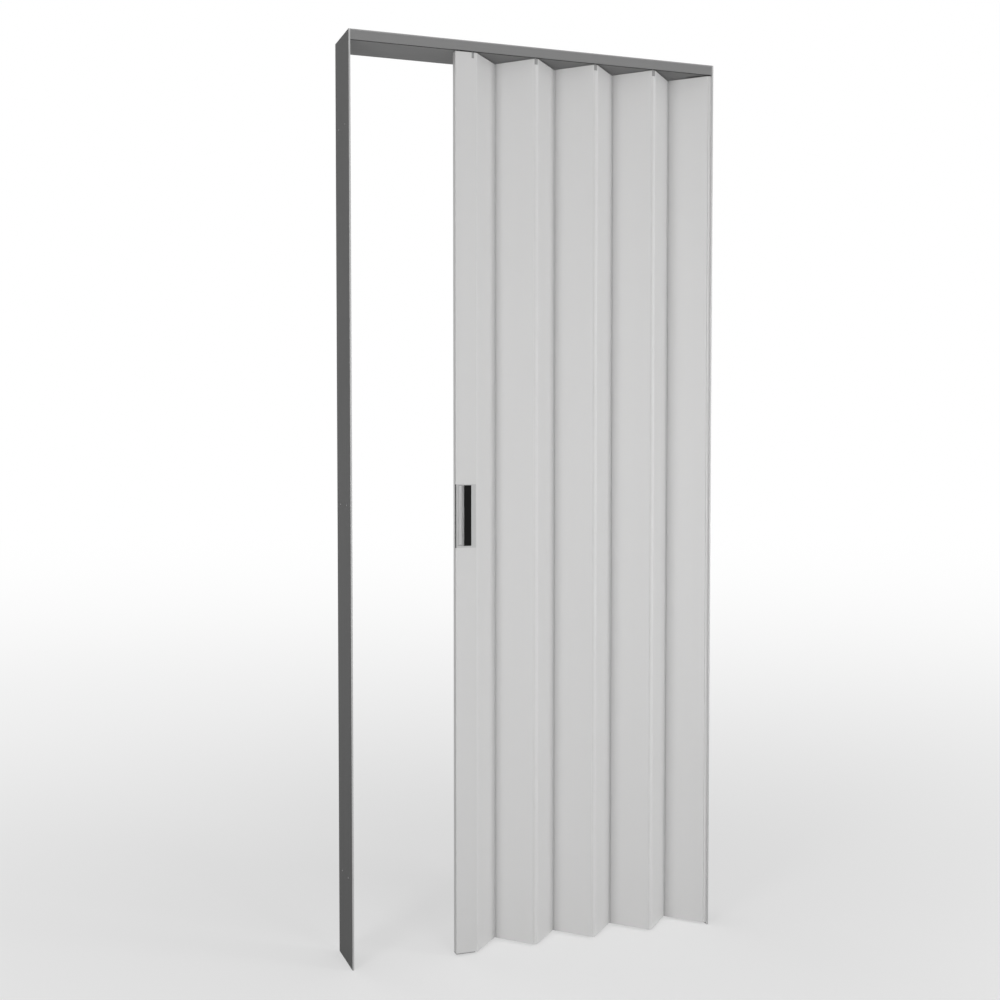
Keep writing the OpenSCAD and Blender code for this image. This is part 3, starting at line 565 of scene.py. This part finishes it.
# %% Sizes of the knuckles
THICK, WALL, BEAD_PLAY, NECK = 7.0, 1.1, 0.07, 1.4
SOCKET = THICK / 2 - WALL
BEAD = SOCKET - BEAD_PLAY
STACKED, SHUT, FREE = 83.0, 6.0, 6.0
swing = math.degrees(math.asin(NECK / 2 / SOCKET))
mouth = (180 - STACKED - swing - FREE, 180 - SHUT + swing + FREE)
print("knuckle mouth from %.1f to %.1f degrees" % mouth)

# %% Outline of a slat
def slat_loops(pitch, chambers=5, rib=1.0, root=1.8):
    """Two C-shaped knuckles, `pitch` apart, joined by two flat faces; then one loop per chamber."""
    half = THICK / 2
    lip = half / math.tan(math.radians(mouth[0]))

    def on_mouth(a, r):
        """A point of the right knuckle: pitch - r * cos a across, and r * sin a down."""
        return (pitch - r * math.cos(math.radians(a)), -r * math.sin(math.radians(a)))

    knuckle = np.concatenate([arc((0, 0), half, mouth[1], 270), line((pitch - lip, -half))])
    face = [knuckle, line((pitch - lip, -half), on_mouth(mouth[0], SOCKET)),
            arc((pitch, 0), SOCKET, mouth[0] + 180, mouth[1] - 180),
            line(on_mouth(mouth[1], SOCKET), on_mouth(mouth[1], half))]
    opposite = [np.array([pitch, 0]) - piece for piece in face]
    first = half + root
    width = (pitch - 2 * first - (chambers - 1) * rib) / chambers
    holes = [box_loop(x, -half + WALL, x + width, half - WALL, 0.5)[::-1]
             for x in first + np.arange(chambers) * (width + rib)]
    return [soft_loop(face + opposite, 0.25)] + holes

print("slat:", [len(loop) for loop in slat_loops(100)], "points in its outline and its chambers")

# %% Set the eight slats between their axes
low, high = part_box("slat_1")[0].z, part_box("slat_1")[1].z
axes = {i: (f"strip_{i}_turn", f"slat_{i}_turn") if i % 2 else
        (f"fold_pair_{i}_{i - 1}", f"strip_{i}_turn") for i in range(8, 1, -1)}
axes[1] = ("lead_turn", "slat_1_turn")
for i, (front_joint, back_joint) in axes.items():
    front_at, back_at = joint_at[front_joint][:2], joint_at[back_joint][:2]
    reach = np.hypot(*(back_at - front_at)) / MM
    loops = slat_loops(reach)
    if i % 2 == 0:
        loops = [(loop * (1, -1))[::-1] for loop in loops]
    turn = math.degrees(math.atan2(*(back_at - front_at)[::-1]))
    shell = upright(loops, low, high, 0.15, front_at, turn)
    settle(put_mesh(f"white_slat_{i}", shell), f"slat_{i}")
    print("slat", i, "axes %.2f mm apart, turned %.1f degrees" % (reach, turn))

# %% [markdown]
# ## Hinge strips
# A hinge strip is soft plastic: two round beads on one neck, and a narrow cover carried in front of
# them. The cover hides the fold from outside, and its face is slightly crowned, which gives the
# bright line down every forward fold. At a backward fold the same strip looks the other way.

# %% Outline of a hinge strip
COVER, COVER_GAP, STEM, COVER_WIDE, CROWN = 1.2, 0.3, 1.0, 7.4, 0.25
FACE = THICK / 2 + COVER_GAP + COVER
grasp = math.degrees(math.asin(NECK / 2 / BEAD))
root_x = BEAD * math.cos(math.radians(grasp))

def crown(x0, x1, y, rise, count=9):
    """Low arch between x0 and x1, y + rise * t^2 with t from -1 to 1: its middle stands out."""
    t = np.linspace(-1, 1, count)
    return np.column_stack([(x0 + x1) / 2 + t * (x1 - x0) / 2, y + rise * t ** 2])

def strip_loop(gap=1.4):
    """Crowned cover, stem, neck, right bead, neck, left bead and back to the stem."""
    s, n, w, back = (THICK + gap) / 2, NECK / 2, COVER_WIDE / 2, -FACE + COVER
    return soft_loop([
        crown(-w, w, -FACE, CROWN),
        *chain((w, CROWN - FACE), (w, back), (STEM / 2, back), (STEM / 2, -n), (s - root_x, -n)),
        arc((s, 0), BEAD, grasp - 180, 180 - grasp), line((s - root_x, n), (root_x - s, n)),
        arc((-s, 0), BEAD, grasp, 360 - grasp),
        *chain((root_x - s, -n), (-STEM / 2, -n), (-STEM / 2, back), (-w, back),
               (-w, CROWN - FACE))], 0.2)

print("strip outline:", len(strip_loop()), "points")

# %% Set the seven strips at the folds
pins = {j: (f"strip_{j}_turn", f"fold_pair_{j - 1}_{j - 2}" if j % 2 else f"slat_{j - 1}_turn")
        for j in range(2, 9)}
middles = {j: (joint_at[a][:2] + joint_at[b][:2]) / 2 for j, (a, b) in pins.items()}
for j, middle in middles.items():
    forward = j % 2 == 1
    loop = strip_loop() if forward else (strip_loop() * (1, -1))[::-1]
    node = f"front_strip_{j}" if forward else f"back_strip_{j}"
    base, top = (corner.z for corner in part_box(node))
    settle(put_mesh(f"hinge_strip_{j}", upright([loop], base, top, 0.1, middle)), node)
print("strips at", {j: tuple(np.round(m, 4)) for j, m in middles.items()})

# %% [markdown]
# ## Fixing profile
# The last slat hangs on a profile that is screwed to the right jamb. It has one bead on a neck, a
# flange for the screws, and a cover like the strips'.

# %% Outline and place of the fixing profile
fixed_axis = joint_at["fold_pair_8_7"][:2]
jamb_side = (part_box("fixing_profile")[1].x - fixed_axis[0]) / MM
deep = (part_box("fixing_profile")[1].y - fixed_axis[1]) / MM

def fixing_loop(flange=1.5, cover_from=0.6):
    """Cover, jamb side, flange, neck and bead, back along the cover's inside."""
    n, inside, back = NECK / 2, jamb_side - flange, -FACE + COVER
    return soft_loop([
        *chain((cover_from, -FACE), (jamb_side, -FACE), (jamb_side, deep), (inside, deep),
               (inside, n), (root_x, n)),
        arc((0, 0), BEAD, grasp, 360 - grasp),
        *chain((root_x, -n), (inside, -n), (inside, back), (cover_from, back),
               (cover_from, -FACE))], 0.25)

base, top = (corner.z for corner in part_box("fixing_profile"))
settle(put_mesh("jamb_fixing_profile", upright([fixing_loop()], base, top, 0.12, fixed_axis)),
       "fixing_profile")
print("fixing profile reaches %.2f mm to the jamb" % jamb_side)

# %% [markdown]
# ## Lead post
# The post is a white box section with the first bead on its side. Its front wall has two openings:
# a window for the pull and a notch at the top for the hanger. So its outer and inner skins are two
# grids with the same missing faces, and short walls join the edges of each opening.

# %% Outlines of the lead post
post_low, post_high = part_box("lead_post")
corner = np.array([post_low.x, post_low.y])
lead_axis = (joint_at["lead_turn"][:2] - corner) / MM
POST_WIDE = (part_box("foot_plug")[1].x - post_low.x) / MM
POST_DEEP, POST_WALL, NOTCH_WIDE, LIP_BACK = 18.0, 1.5, 6, 0.4
LIP = lead_axis[0] - LIP_BACK
NOTCH = (POST_WIDE - POST_WALL - NOTCH_WIDE, POST_WIDE - POST_WALL)
WINDOW = (2.0, 39.2)
print("post %.1f x %.1f mm, first axis at" % (POST_WIDE, POST_DEEP), lead_axis.round(3))

def post_outer():
    """Front with the openings' places marked, lip, side with neck and bead, back, left side."""
    x, y = lead_axis
    n, d, w = NECK / 2, POST_DEEP, POST_WIDE
    front = line(*[(k, 0) for k in (0, WINDOW[0], NOTCH[0], WINDOW[1], NOTCH[1], LIP)])
    return soft_loop([
        front, *chain((LIP, 0), (LIP, COVER), (w, COVER), (w, y - n), (x - root_x, y - n)),
        arc((x, y), BEAD, grasp - 180, 180 - grasp),
        *chain((x - root_x, y + n), (w, y + n), (w, d), (0, d), (0, 0))], 0.4)

def post_inner():
    """The hollow, clockwise, with the same places marked along its front."""
    t = POST_WALL
    return line(*[(k, t) for k in (NOTCH[1], WINDOW[1], NOTCH[0], WINDOW[0], t)],
                (t, POST_DEEP - t), (NOTCH[1], POST_DEEP - t))

# %% Walls of the lead post, with their openings
def nearest(loop, x, y):
    """Number of the outline's point that lies nearest to (x, y)."""
    return int(np.argmin(np.hypot(loop[:, 0] - x, loop[:, 1] - y)))

def strip_of(low, high):
    """Faces between two rows of points that run the same way."""
    return np.stack([low[:-1], low[1:], high[1:], high[:-1]], -1)

def post_walls(outer, inner, heights, insets, openings):
    """Skins: each loop at each height, shrunk by its inset. A face is left out where it lies in an
    opening (x0, x1, first row, last row); rims join the two skins round it. An opening that reaches
    the last row is a notch in the top rim. Points that no face uses are dropped."""
    rows, a, b = len(heights), len(outer), len(inner)
    points = np.concatenate([np.column_stack([shrink(loop, inset), np.full(len(loop), height)])
                             for loop in (outer, inner) for inset, height in zip(insets, heights)])
    skins = np.arange(rows * a).reshape(rows, a), rows * a + np.arange(rows * b).reshape(rows, b)
    solid = [np.ones((rows - 1, n), bool) for n in (a, b)]
    faces = []
    for x0, x1, r0, r1 in openings:
        o0, o1 = nearest(outer, x0, 0), nearest(outer, x1, 0)
        i0, i1 = nearest(inner, x0, POST_WALL), nearest(inner, x1, POST_WALL)
        solid[0][r0:r1, o0:o1] = False
        solid[1][r0:r1, i1:i0] = False
        out, inn = skins[0][r0:r1 + 1, o0:o1 + 1], skins[1][r0:r1 + 1, i1:i0 + 1][:, ::-1]
        faces += [strip_of(out[0], inn[0]), strip_of(inn[:, 0], out[:, 0]),
                  strip_of(out[:, -1], inn[:, -1])]
        if r1 < rows - 1:
            faces.append(strip_of(inn[-1], out[-1]))
        else:
            brim = np.concatenate([np.roll(skins[0][-1], -o1)[:(o0 - o1) % a + 1],
                                   np.roll(skins[1][-1], -i0)[:(i1 - i0) % b + 1]])
    for skin, keep in zip(skins, solid):
        after = np.roll(skin, -1, 1)
        faces.append(np.stack([skin[:-1], after[:-1], after[1:], skin[1:]], -1)[keep])
    low = np.concatenate([skin[0] for skin in skins])
    low_cap = low[cap_triangles([points[skin[0], :2] for skin in skins])][:, ::-1]
    groups = np.concatenate(faces), low_cap, brim[cap_triangles([points[brim, :2]])]
    used = np.unique(np.concatenate([group.ravel() for group in groups]))
    return points[used], *(np.searchsorted(used, group) for group in groups)

cup_low, cup_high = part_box("handle_cup")[0].z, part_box("handle_cup")[1].z
POST_SOFT, WINDOW_IN = 0.25, 1
quarter = np.radians(np.linspace(0, 90, 4))
ends = POST_SOFT * (1 - np.cos(quarter))
notch_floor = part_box("front_strip_3")[1].z / MM
window_rows = [cup_low / MM + WINDOW_IN, cup_high / MM - WINDOW_IN]
heights = np.concatenate([post_low.z / MM + ends, window_rows, [notch_floor],
                          post_high.z / MM - ends[::-1]])
insets = np.concatenate([POST_SOFT * (1 - np.sin(quarter)), [0, 0, 0],
                         POST_SOFT * (1 - np.sin(quarter[::-1]))])
# Rows 4 and 5 are the window's sill and head, and row 6 is the floor of the notch
points, *groups = post_walls(post_outer(), post_inner(), heights, insets,
                             [(*WINDOW, 4, 5), (*NOTCH, 6, len(heights) - 1)])
post = settle(put_mesh("white_lead_post", (points * MM + np.append(corner, 0), *groups)),
              "lead_post")
print("lead post:", len(post.data.polygons), "faces; window", WINDOW, "notch", NOTCH)

# %% [markdown]
# ## The pull
# The pull is a shallow cup let into the post. Fingers slide down its slope from the left and close
# behind the upright black bar. The cup is one surface: its depth is the product of a course across
# and a course up, so the walls, the slope and the corners flow into each other.

# %% Courses of the cup
def wall_course(depth, lip, fillet, draft=7.0):
    """From the rim down a steep wall to the floor: (distance, share of the depth). A small round at
    the lip, a straight wall that leans by `draft` degrees, and a larger fillet at the floor."""
    q = np.radians(np.linspace(0, 90 - draft, 6))
    lean = math.tan(math.radians(draft))
    down, across = lip * (1 - np.cos(q)), lip * np.sin(q)
    floor_q = q[::-1]
    drop = depth - fillet * (1 - np.cos(floor_q))
    start = across[-1] + (drop[0] - down[-1]) * lean
    out = start + fillet * (np.sin(floor_q[0]) - np.sin(floor_q))
    return np.concatenate([across, out]), np.concatenate([down, drop]) / depth

def edge_course(high, soft, count=4):
    """The outer edge of the rim: (distance, share of the rim's height that is missing)."""
    q = np.radians(np.linspace(0, 90, count))
    return soft * (1 - np.cos(q)), (1 - np.sin(q)) * soft / high

def slope_course(across, blend=0.004):
    """Share of the depth down the slope: 0 before it, 1 behind it, and the straight line `across`
    between; both bends are rounded, because |x| is written as sqrt(x^2 + blend)."""
    return 0.5 * (np.sqrt(across ** 2 + blend) - np.sqrt((across - 1) ** 2 + blend) + 1)

def sheet(x, z, y):
    """A grid of places (x across, z up, y deep) as points and quads that face the front."""
    points = np.stack(np.broadcast_arrays(x[None, :], y, z[:, None]), -1)
    rows, columns = y.shape
    k = np.arange(rows * columns).reshape(rows, columns)
    quads = np.stack([k[:-1, :-1], k[:-1, 1:], k[1:, 1:], k[1:, :-1]], -1).reshape(-1, 4)
    return points.reshape(-1, 3), quads

print("courses ready")

# %% The cup
# Rim and its round edge, depth of the scoop, length of the slope, wall; then the rim's four widths
RIM, RIM_EDGE, SCOOP, RAMP, CUP_WALL = 0.8, 0.45, 12.0, 18.0, 0.8
LEFT, RIGHT, HEAD, FOOT = 2.0, 10.2, 1.6, 3.8
rim_x = [(c - post_low.x) / MM for c in (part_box("handle_cup")[0].x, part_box("handle_cup")[1].x)]
rim_z = [cup_low / MM, cup_high / MM]
depth = RIM + SCOOP
off, share = wall_course(depth, 0.5, 1.6)
edge, missing = edge_course(RIM, RIM_EDGE)
ramp = np.linspace(-0.06, 1.1, 28)

def rim_to_rim(rim, *courses):
    """Places from one outer edge of the rim to the other, with the courses between them."""
    return np.concatenate([[rim[0]], rim[0] + edge, *courses, rim[1] - edge[::-1], [rim[1]]])

flat = np.zeros(len(edge) + 1)
across_x = rim_to_rim(rim_x, rim_x[0] + LEFT + RAMP * ramp, rim_x[1] - RIGHT - off[::-1])
across_a = np.concatenate([flat, slope_course(ramp), share[::-1], flat])
across_e = np.concatenate([[1], missing, np.zeros(len(ramp) + len(off)), missing[::-1], [1]])
up_z = rim_to_rim(rim_z, rim_z[0] + FOOT + off, rim_z[1] - HEAD - off[::-1])
up_b = np.concatenate([flat, share, share[::-1], flat])
up_e = np.concatenate([[1], missing, np.zeros(2 * len(off)), missing[::-1], [1]])
cup_y = (-RIM + depth * across_a[None, :] * up_b[:, None]
         + RIM * np.maximum(across_e[None, :], up_e[:, None]))
points, quads = sheet(across_x, up_z, cup_y)
cup = put_mesh("pull_cup", (points * MM + np.array([corner[0], corner[1], 0]), quads))
shell = cup.modifiers.new("cup wall", "SOLIDIFY")
shell.thickness = CUP_WALL * MM
shell.offset = -1
cup.modifiers.move(0, 1)
settle(cup, "handle_cup")
print("pull cup: %d faces, %.1f mm deep" % (len(cup.data.polygons), depth))

# %% Grip bar, and a black film at the post's corner as a painted shadow line
bar_low, bar_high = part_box("grip_bar")
BAR_FREE = 0.1

def bar_loop(wide, thick, rise=0.22, front_cut=0.5, side_from=0.9, back_cut=1.5):
    """Front slightly crowned with soft edges, back with wider rounds for the fingertips."""
    side_to = thick - back_cut
    return soft_loop([crown(front_cut, wide - front_cut, 0, rise), *chain(
        (wide - front_cut, rise), (wide, side_from), (wide, side_to), (wide - back_cut, thick),
        (back_cut, thick), (0, side_to), (0, side_from), (front_cut, rise))], 0.55)

bar = bar_loop((bar_high.x - bar_low.x) / MM, (bar_high.y - bar_low.y) / MM)
settle(put_mesh("black_grip_bar", upright(
    [bar], cup_low + (FOOT + BAR_FREE) * MM, cup_high - (HEAD + BAR_FREE) * MM, 0.35,
    (bar_low.x, bar_low.y))), "grip_bar")

def painted_shadow_strip_loop(film=0.25, round_back=4.5, under=1.4, bend=0.4):
    """A thin black film that lies on the post's face, bends round its left corner and runs back a
    little: a painted shadow line along the left of the pull."""
    return soft_loop([
        arc((bend, bend), bend + film, 180, 270),
        *chain((bend, -film), (under, -film), (under, 0), (bend, 0)),
        arc((bend, bend), bend, 270, 180),
        *chain((0, bend), (0, round_back), (-film, round_back), (-film, bend))], 0.08, 3)

# A black film round the post's left corner beside the pull: a painted shadow line.
painted_shadow_strip = put_mesh("pull_painted_shadow_strip", upright([painted_shadow_strip_loop()], cup_low, cup_high, 0.04, corner))
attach(painted_shadow_strip, "lead")
painted_shadow_strip.data.materials.append(finishes["buffer_rubber"])
print("bar", tuple(np.round(np.array(bar_high - bar_low) / MM, 1)), "mm; seal",
      len(painted_shadow_strip.data.polygons), "faces")

# %% [markdown]
# ## Hangers, axles and wheels
# Each forward fold hangs from the track: a grey foot with the strip's own outline fills the notch
# at its top, a round stem passes the slot, and a plate carries an axle with a wheel on each side.
# Round pieces are outlines of (radius, height) turned about their axis.

# %% Turn an outline about an axis
def turned(outline, centre, axis, count=32):
    """Point = centre + r*(cos a * u + sin a * v) + h*axis, for the outline point (r, h) in
    millimetres and a full turn of a. The outline runs with its material on the left."""
    axis = np.array(axis, float)
    u = np.cross(axis, (0, 0, 1.0)) if abs(axis[2]) < 0.5 else np.array([1.0, 0, 0])
    v = np.cross(axis, u)
    a = np.linspace(0, 2 * np.pi, count, endpoint=False)[:, None, None]
    r, h = outline[None, :, :1] * MM, outline[None, :, 1:] * MM
    points = np.array(centre) + r * (np.cos(a) * u + np.sin(a) * v) + h * axis
    k = np.arange(count * len(outline)).reshape(count, len(outline))
    turn, on = np.roll(k, -1, 0), np.roll(k, -1, 1)
    both = np.roll(turn, -1, 1)
    return points.reshape(-1, 3), np.stack([k, turn, both, on], -1).reshape(-1, 4)

def wheel_outline():
    """Hub, inner face, tread with soft edges, dished outer face and bore, all on the +h side."""
    return soft_loop(chain(
        (1.26, 2.2), (2.4, 2.2), (2.75, 2.6), (5.0, 2.5), (5.5, 2.95), (5.5, 5.45), (5.0, 5.9),
        (4.3, 5.9), (3.9, 5.0), (2.9, 5.0), (2.5, 5.9), (1.26, 5.9), (1.26, 2.2)), 0.25, 4)

def axle_outline(head=1.7, pin=1.24, end=6.05, dome=0.45):
    """A pin with a low domed head at each end, from the far end to the near one."""
    q = np.radians(np.linspace(5, 90, 6))
    top = np.column_stack([head * np.sin(q), end + dome * np.cos(q)])
    upper = np.concatenate([line((pin, 5.92), (head, 5.95)), top[::-1]])
    return np.concatenate([(upper * (1, -1))[::-1], upper])

def stem_outline(low, top):
    """Round stem: a thin root in the foot's neck, a shoulder clear of the slats, a flare at the
    plate. Its ends lie on the axis, but for a pinhole of 0.02."""
    return line((0.02, low - 0.5), (0.6, low - 0.5), (0.6, low + 0.12), (1.35, low + 0.12),
                (1.5, low + 0.3), (1.5, top - 0.9), (1.7, top - 0.35), (2.1, top), (0.02, top))

print("wheel outline:", len(wheel_outline()), "points, axle:", len(axle_outline()), "points")

# %% Hang the feet, plates, axles and wheels
PLATE, PLATE_HALF, PLATE_OVER = 3.8, 6, 1.0
curtain_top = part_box("slat_1")[1].z
runners = {key: (f"hanger_{key}", f"axle_{key}", f"wheels_{key}") for key in "357"}
runners.update((key, (None, f"lead_axle_{key}", f"lead_wheels_{key}")) for key in ("left", "right"))

def hanger_plate(x, y, low, top, centre_z):
    """Flat-bottomed plate with a round crown, cut level at the top, carried across the track."""
    half = PLATE_HALF
    cut = math.degrees(math.asin((top - centre_z) / half))
    flat_half = half * math.cos(math.radians(cut))
    loop = soft_loop([*chain((-half, low), (half, low), (half, centre_z)),
                      arc((0, centre_z), half, 0, cut), line((flat_half, top), (-flat_half, top)),
                      arc((0, centre_z), half, 180 - cut, 180),
                      line((-half, centre_z), (-half, low))], 0.4)
    return carried([loop], 0, PLATE * MM, 0.3, (1, 0, 0), (0, 0, 1), (0, -1, 0),
                   (x, y + PLATE / 2 * MM, 0))

for key, (hanger, axle, wheels) in runners.items():
    lo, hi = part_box(axle)
    middle = np.array((lo + hi) / 2)
    if hanger:
        x, y = middles[int(key)]
        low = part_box(wheels)[0].z / MM + PLATE_OVER
        foot = upright([strip_loop()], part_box(f"front_strip_{key}")[1].z, curtain_top, 0.1, (x, y))
        stem = turned(stem_outline(curtain_top / MM, low + 0.1), (x, y, 0), (0, 0, 1), 24)
        plate = hanger_plate(x, y, low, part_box(hanger)[1].z / MM, middle[2] / MM)
        settle(put_mesh(f"grey_hanger_{key}", foot, stem, plate), hanger)
    settle(put_mesh(f"pin_{key}", turned(axle_outline(), middle, (0, 1, 0), 24)), axle)
    pair = [turned(wheel_outline(), middle, (0, way, 0), 40) for way in (1, -1)]
    settle(put_mesh(f"nylon_wheels_{key}", *pair), wheels)
print("hangers, axles and wheels for", sorted(runners))

# %% [markdown]
# ## Floor, backdrop and light
# A door is hard to light evenly: its folds face two ways and its head looks down. Four large soft
# lamps and a pale world reach all of them, at a level where a colour renders about as written. The
# lamps at the front and the back are left out of reflections, which keeps the metal even. The floor
# is pale and keeps the door's shadow; far away it turns into the white of the backdrop.

# %% Floor and white surroundings
FLOOR_Z, FLOOR_HALF = -0.0004, 30
GLOW_NEAR, GLOW_FADE = 0.48, 3.0

def direct_sight(tree):
    """1 for rays from the camera, from reflections and through glass; 0 for rays that light
    things."""
    ray = tree.nodes.new("ShaderNodeLightPath").outputs
    return (Wire(ray["Is Camera Ray"]) + Wire(ray["Is Glossy Ray"])
            + Wire(ray["Is Transmission Ray"]))

def floor_finish():
    """Diffuse plus a glow that only the camera and reflections see. The glow's share is GLOW_NEAR
    at the door and 1 far away, where fade / (away + fade) has dropped, so no horizon shows."""
    material = bpy.data.materials.new("studio floor")
    material.use_nodes = True
    tree = material.node_tree
    tree.nodes.clear()
    place = Wire(tree.nodes.new("ShaderNodeTexCoord").outputs["Object"])
    seen, away = direct_sight(tree), place.away_from(0, 0, 0)
    far = away.make("Math", {"operation": "DIVIDE"},
                    {0: GLOW_FADE, 1: away + GLOW_FADE}).fades(0.85, 0.15)
    diffuse = place.make("BsdfDiffuse", None, {"Color": grey(0.78)})
    glow = place.make("Emission", None, {"Color": grey(1.0), "Strength": 1.0})
    share = seen * (far * (1 - GLOW_NEAR) + GLOW_NEAR)
    surface = place.make("MixShader", None, {"Fac": share, 1: diffuse, 2: glow})
    out = tree.nodes.new("ShaderNodeOutputMaterial")
    tree.links.new(surface.socket, out.inputs["Surface"])
    return material

ground = bpy.data.meshes.new("floor")
ground.from_pydata([(FLOOR_HALF * x, FLOOR_HALF * y, FLOOR_Z)
                    for x, y in ((-1, -1), (1, -1), (1, 1), (-1, 1))], [], [(0, 1, 2, 3)])
floor = bpy.data.objects.new("studio_floor", ground)
bpy.context.scene.collection.objects.link(floor)
floor.data.materials.append(floor_finish())

world = bpy.data.worlds.new("pale studio")
bpy.context.scene.world = world
world.use_nodes = True
tree = world.node_tree
tree.nodes.clear()
seen = direct_sight(tree)
sky = seen.make("Background", None, {"Color": grey(1.0), "Strength": seen.between(0.38, 1.0)})
out = tree.nodes.new("ShaderNodeOutputWorld")
tree.links.new(sky.socket, out.inputs["Surface"])
print("floor and world ready")

# %% Lamps
def lamp(name, at, towards, wide, tall, power):
    """A soft lamp, `wide` by `tall` metres, that looks from one point towards another."""
    light = bpy.data.lights.new(name, "AREA")
    light.shape = "RECTANGLE"
    light.size, light.size_y = wide, tall
    light.energy = power
    holder = bpy.data.objects.new(name, light)
    bpy.context.scene.collection.objects.link(holder)
    holder.location = at
    holder.rotation_euler = (Vector(towards) - Vector(at)).to_track_quat("-Z", "Y").to_euler()
    return holder

lamp("left soft light", (-2.7, -2.3, 1.25), (0, 0, 0.95), 0.9, 2.4, 33)
lamp("right soft light", (2.8, -2.3, 1.25), (0.1, 0, 0.95), 0.9, 2.4, 34)
lamp("front soft light", (0.2, -4.2, 1.3), (0, 0, 0.9), 1.6, 1.6, 50).visible_glossy = False
lamp("back soft light", (-1.5, 3.0, 2.8), (0, 0, 1.2), 2.0, 2.0, 16).visible_glossy = False
bpy.context.scene.view_settings.view_transform = "Standard"
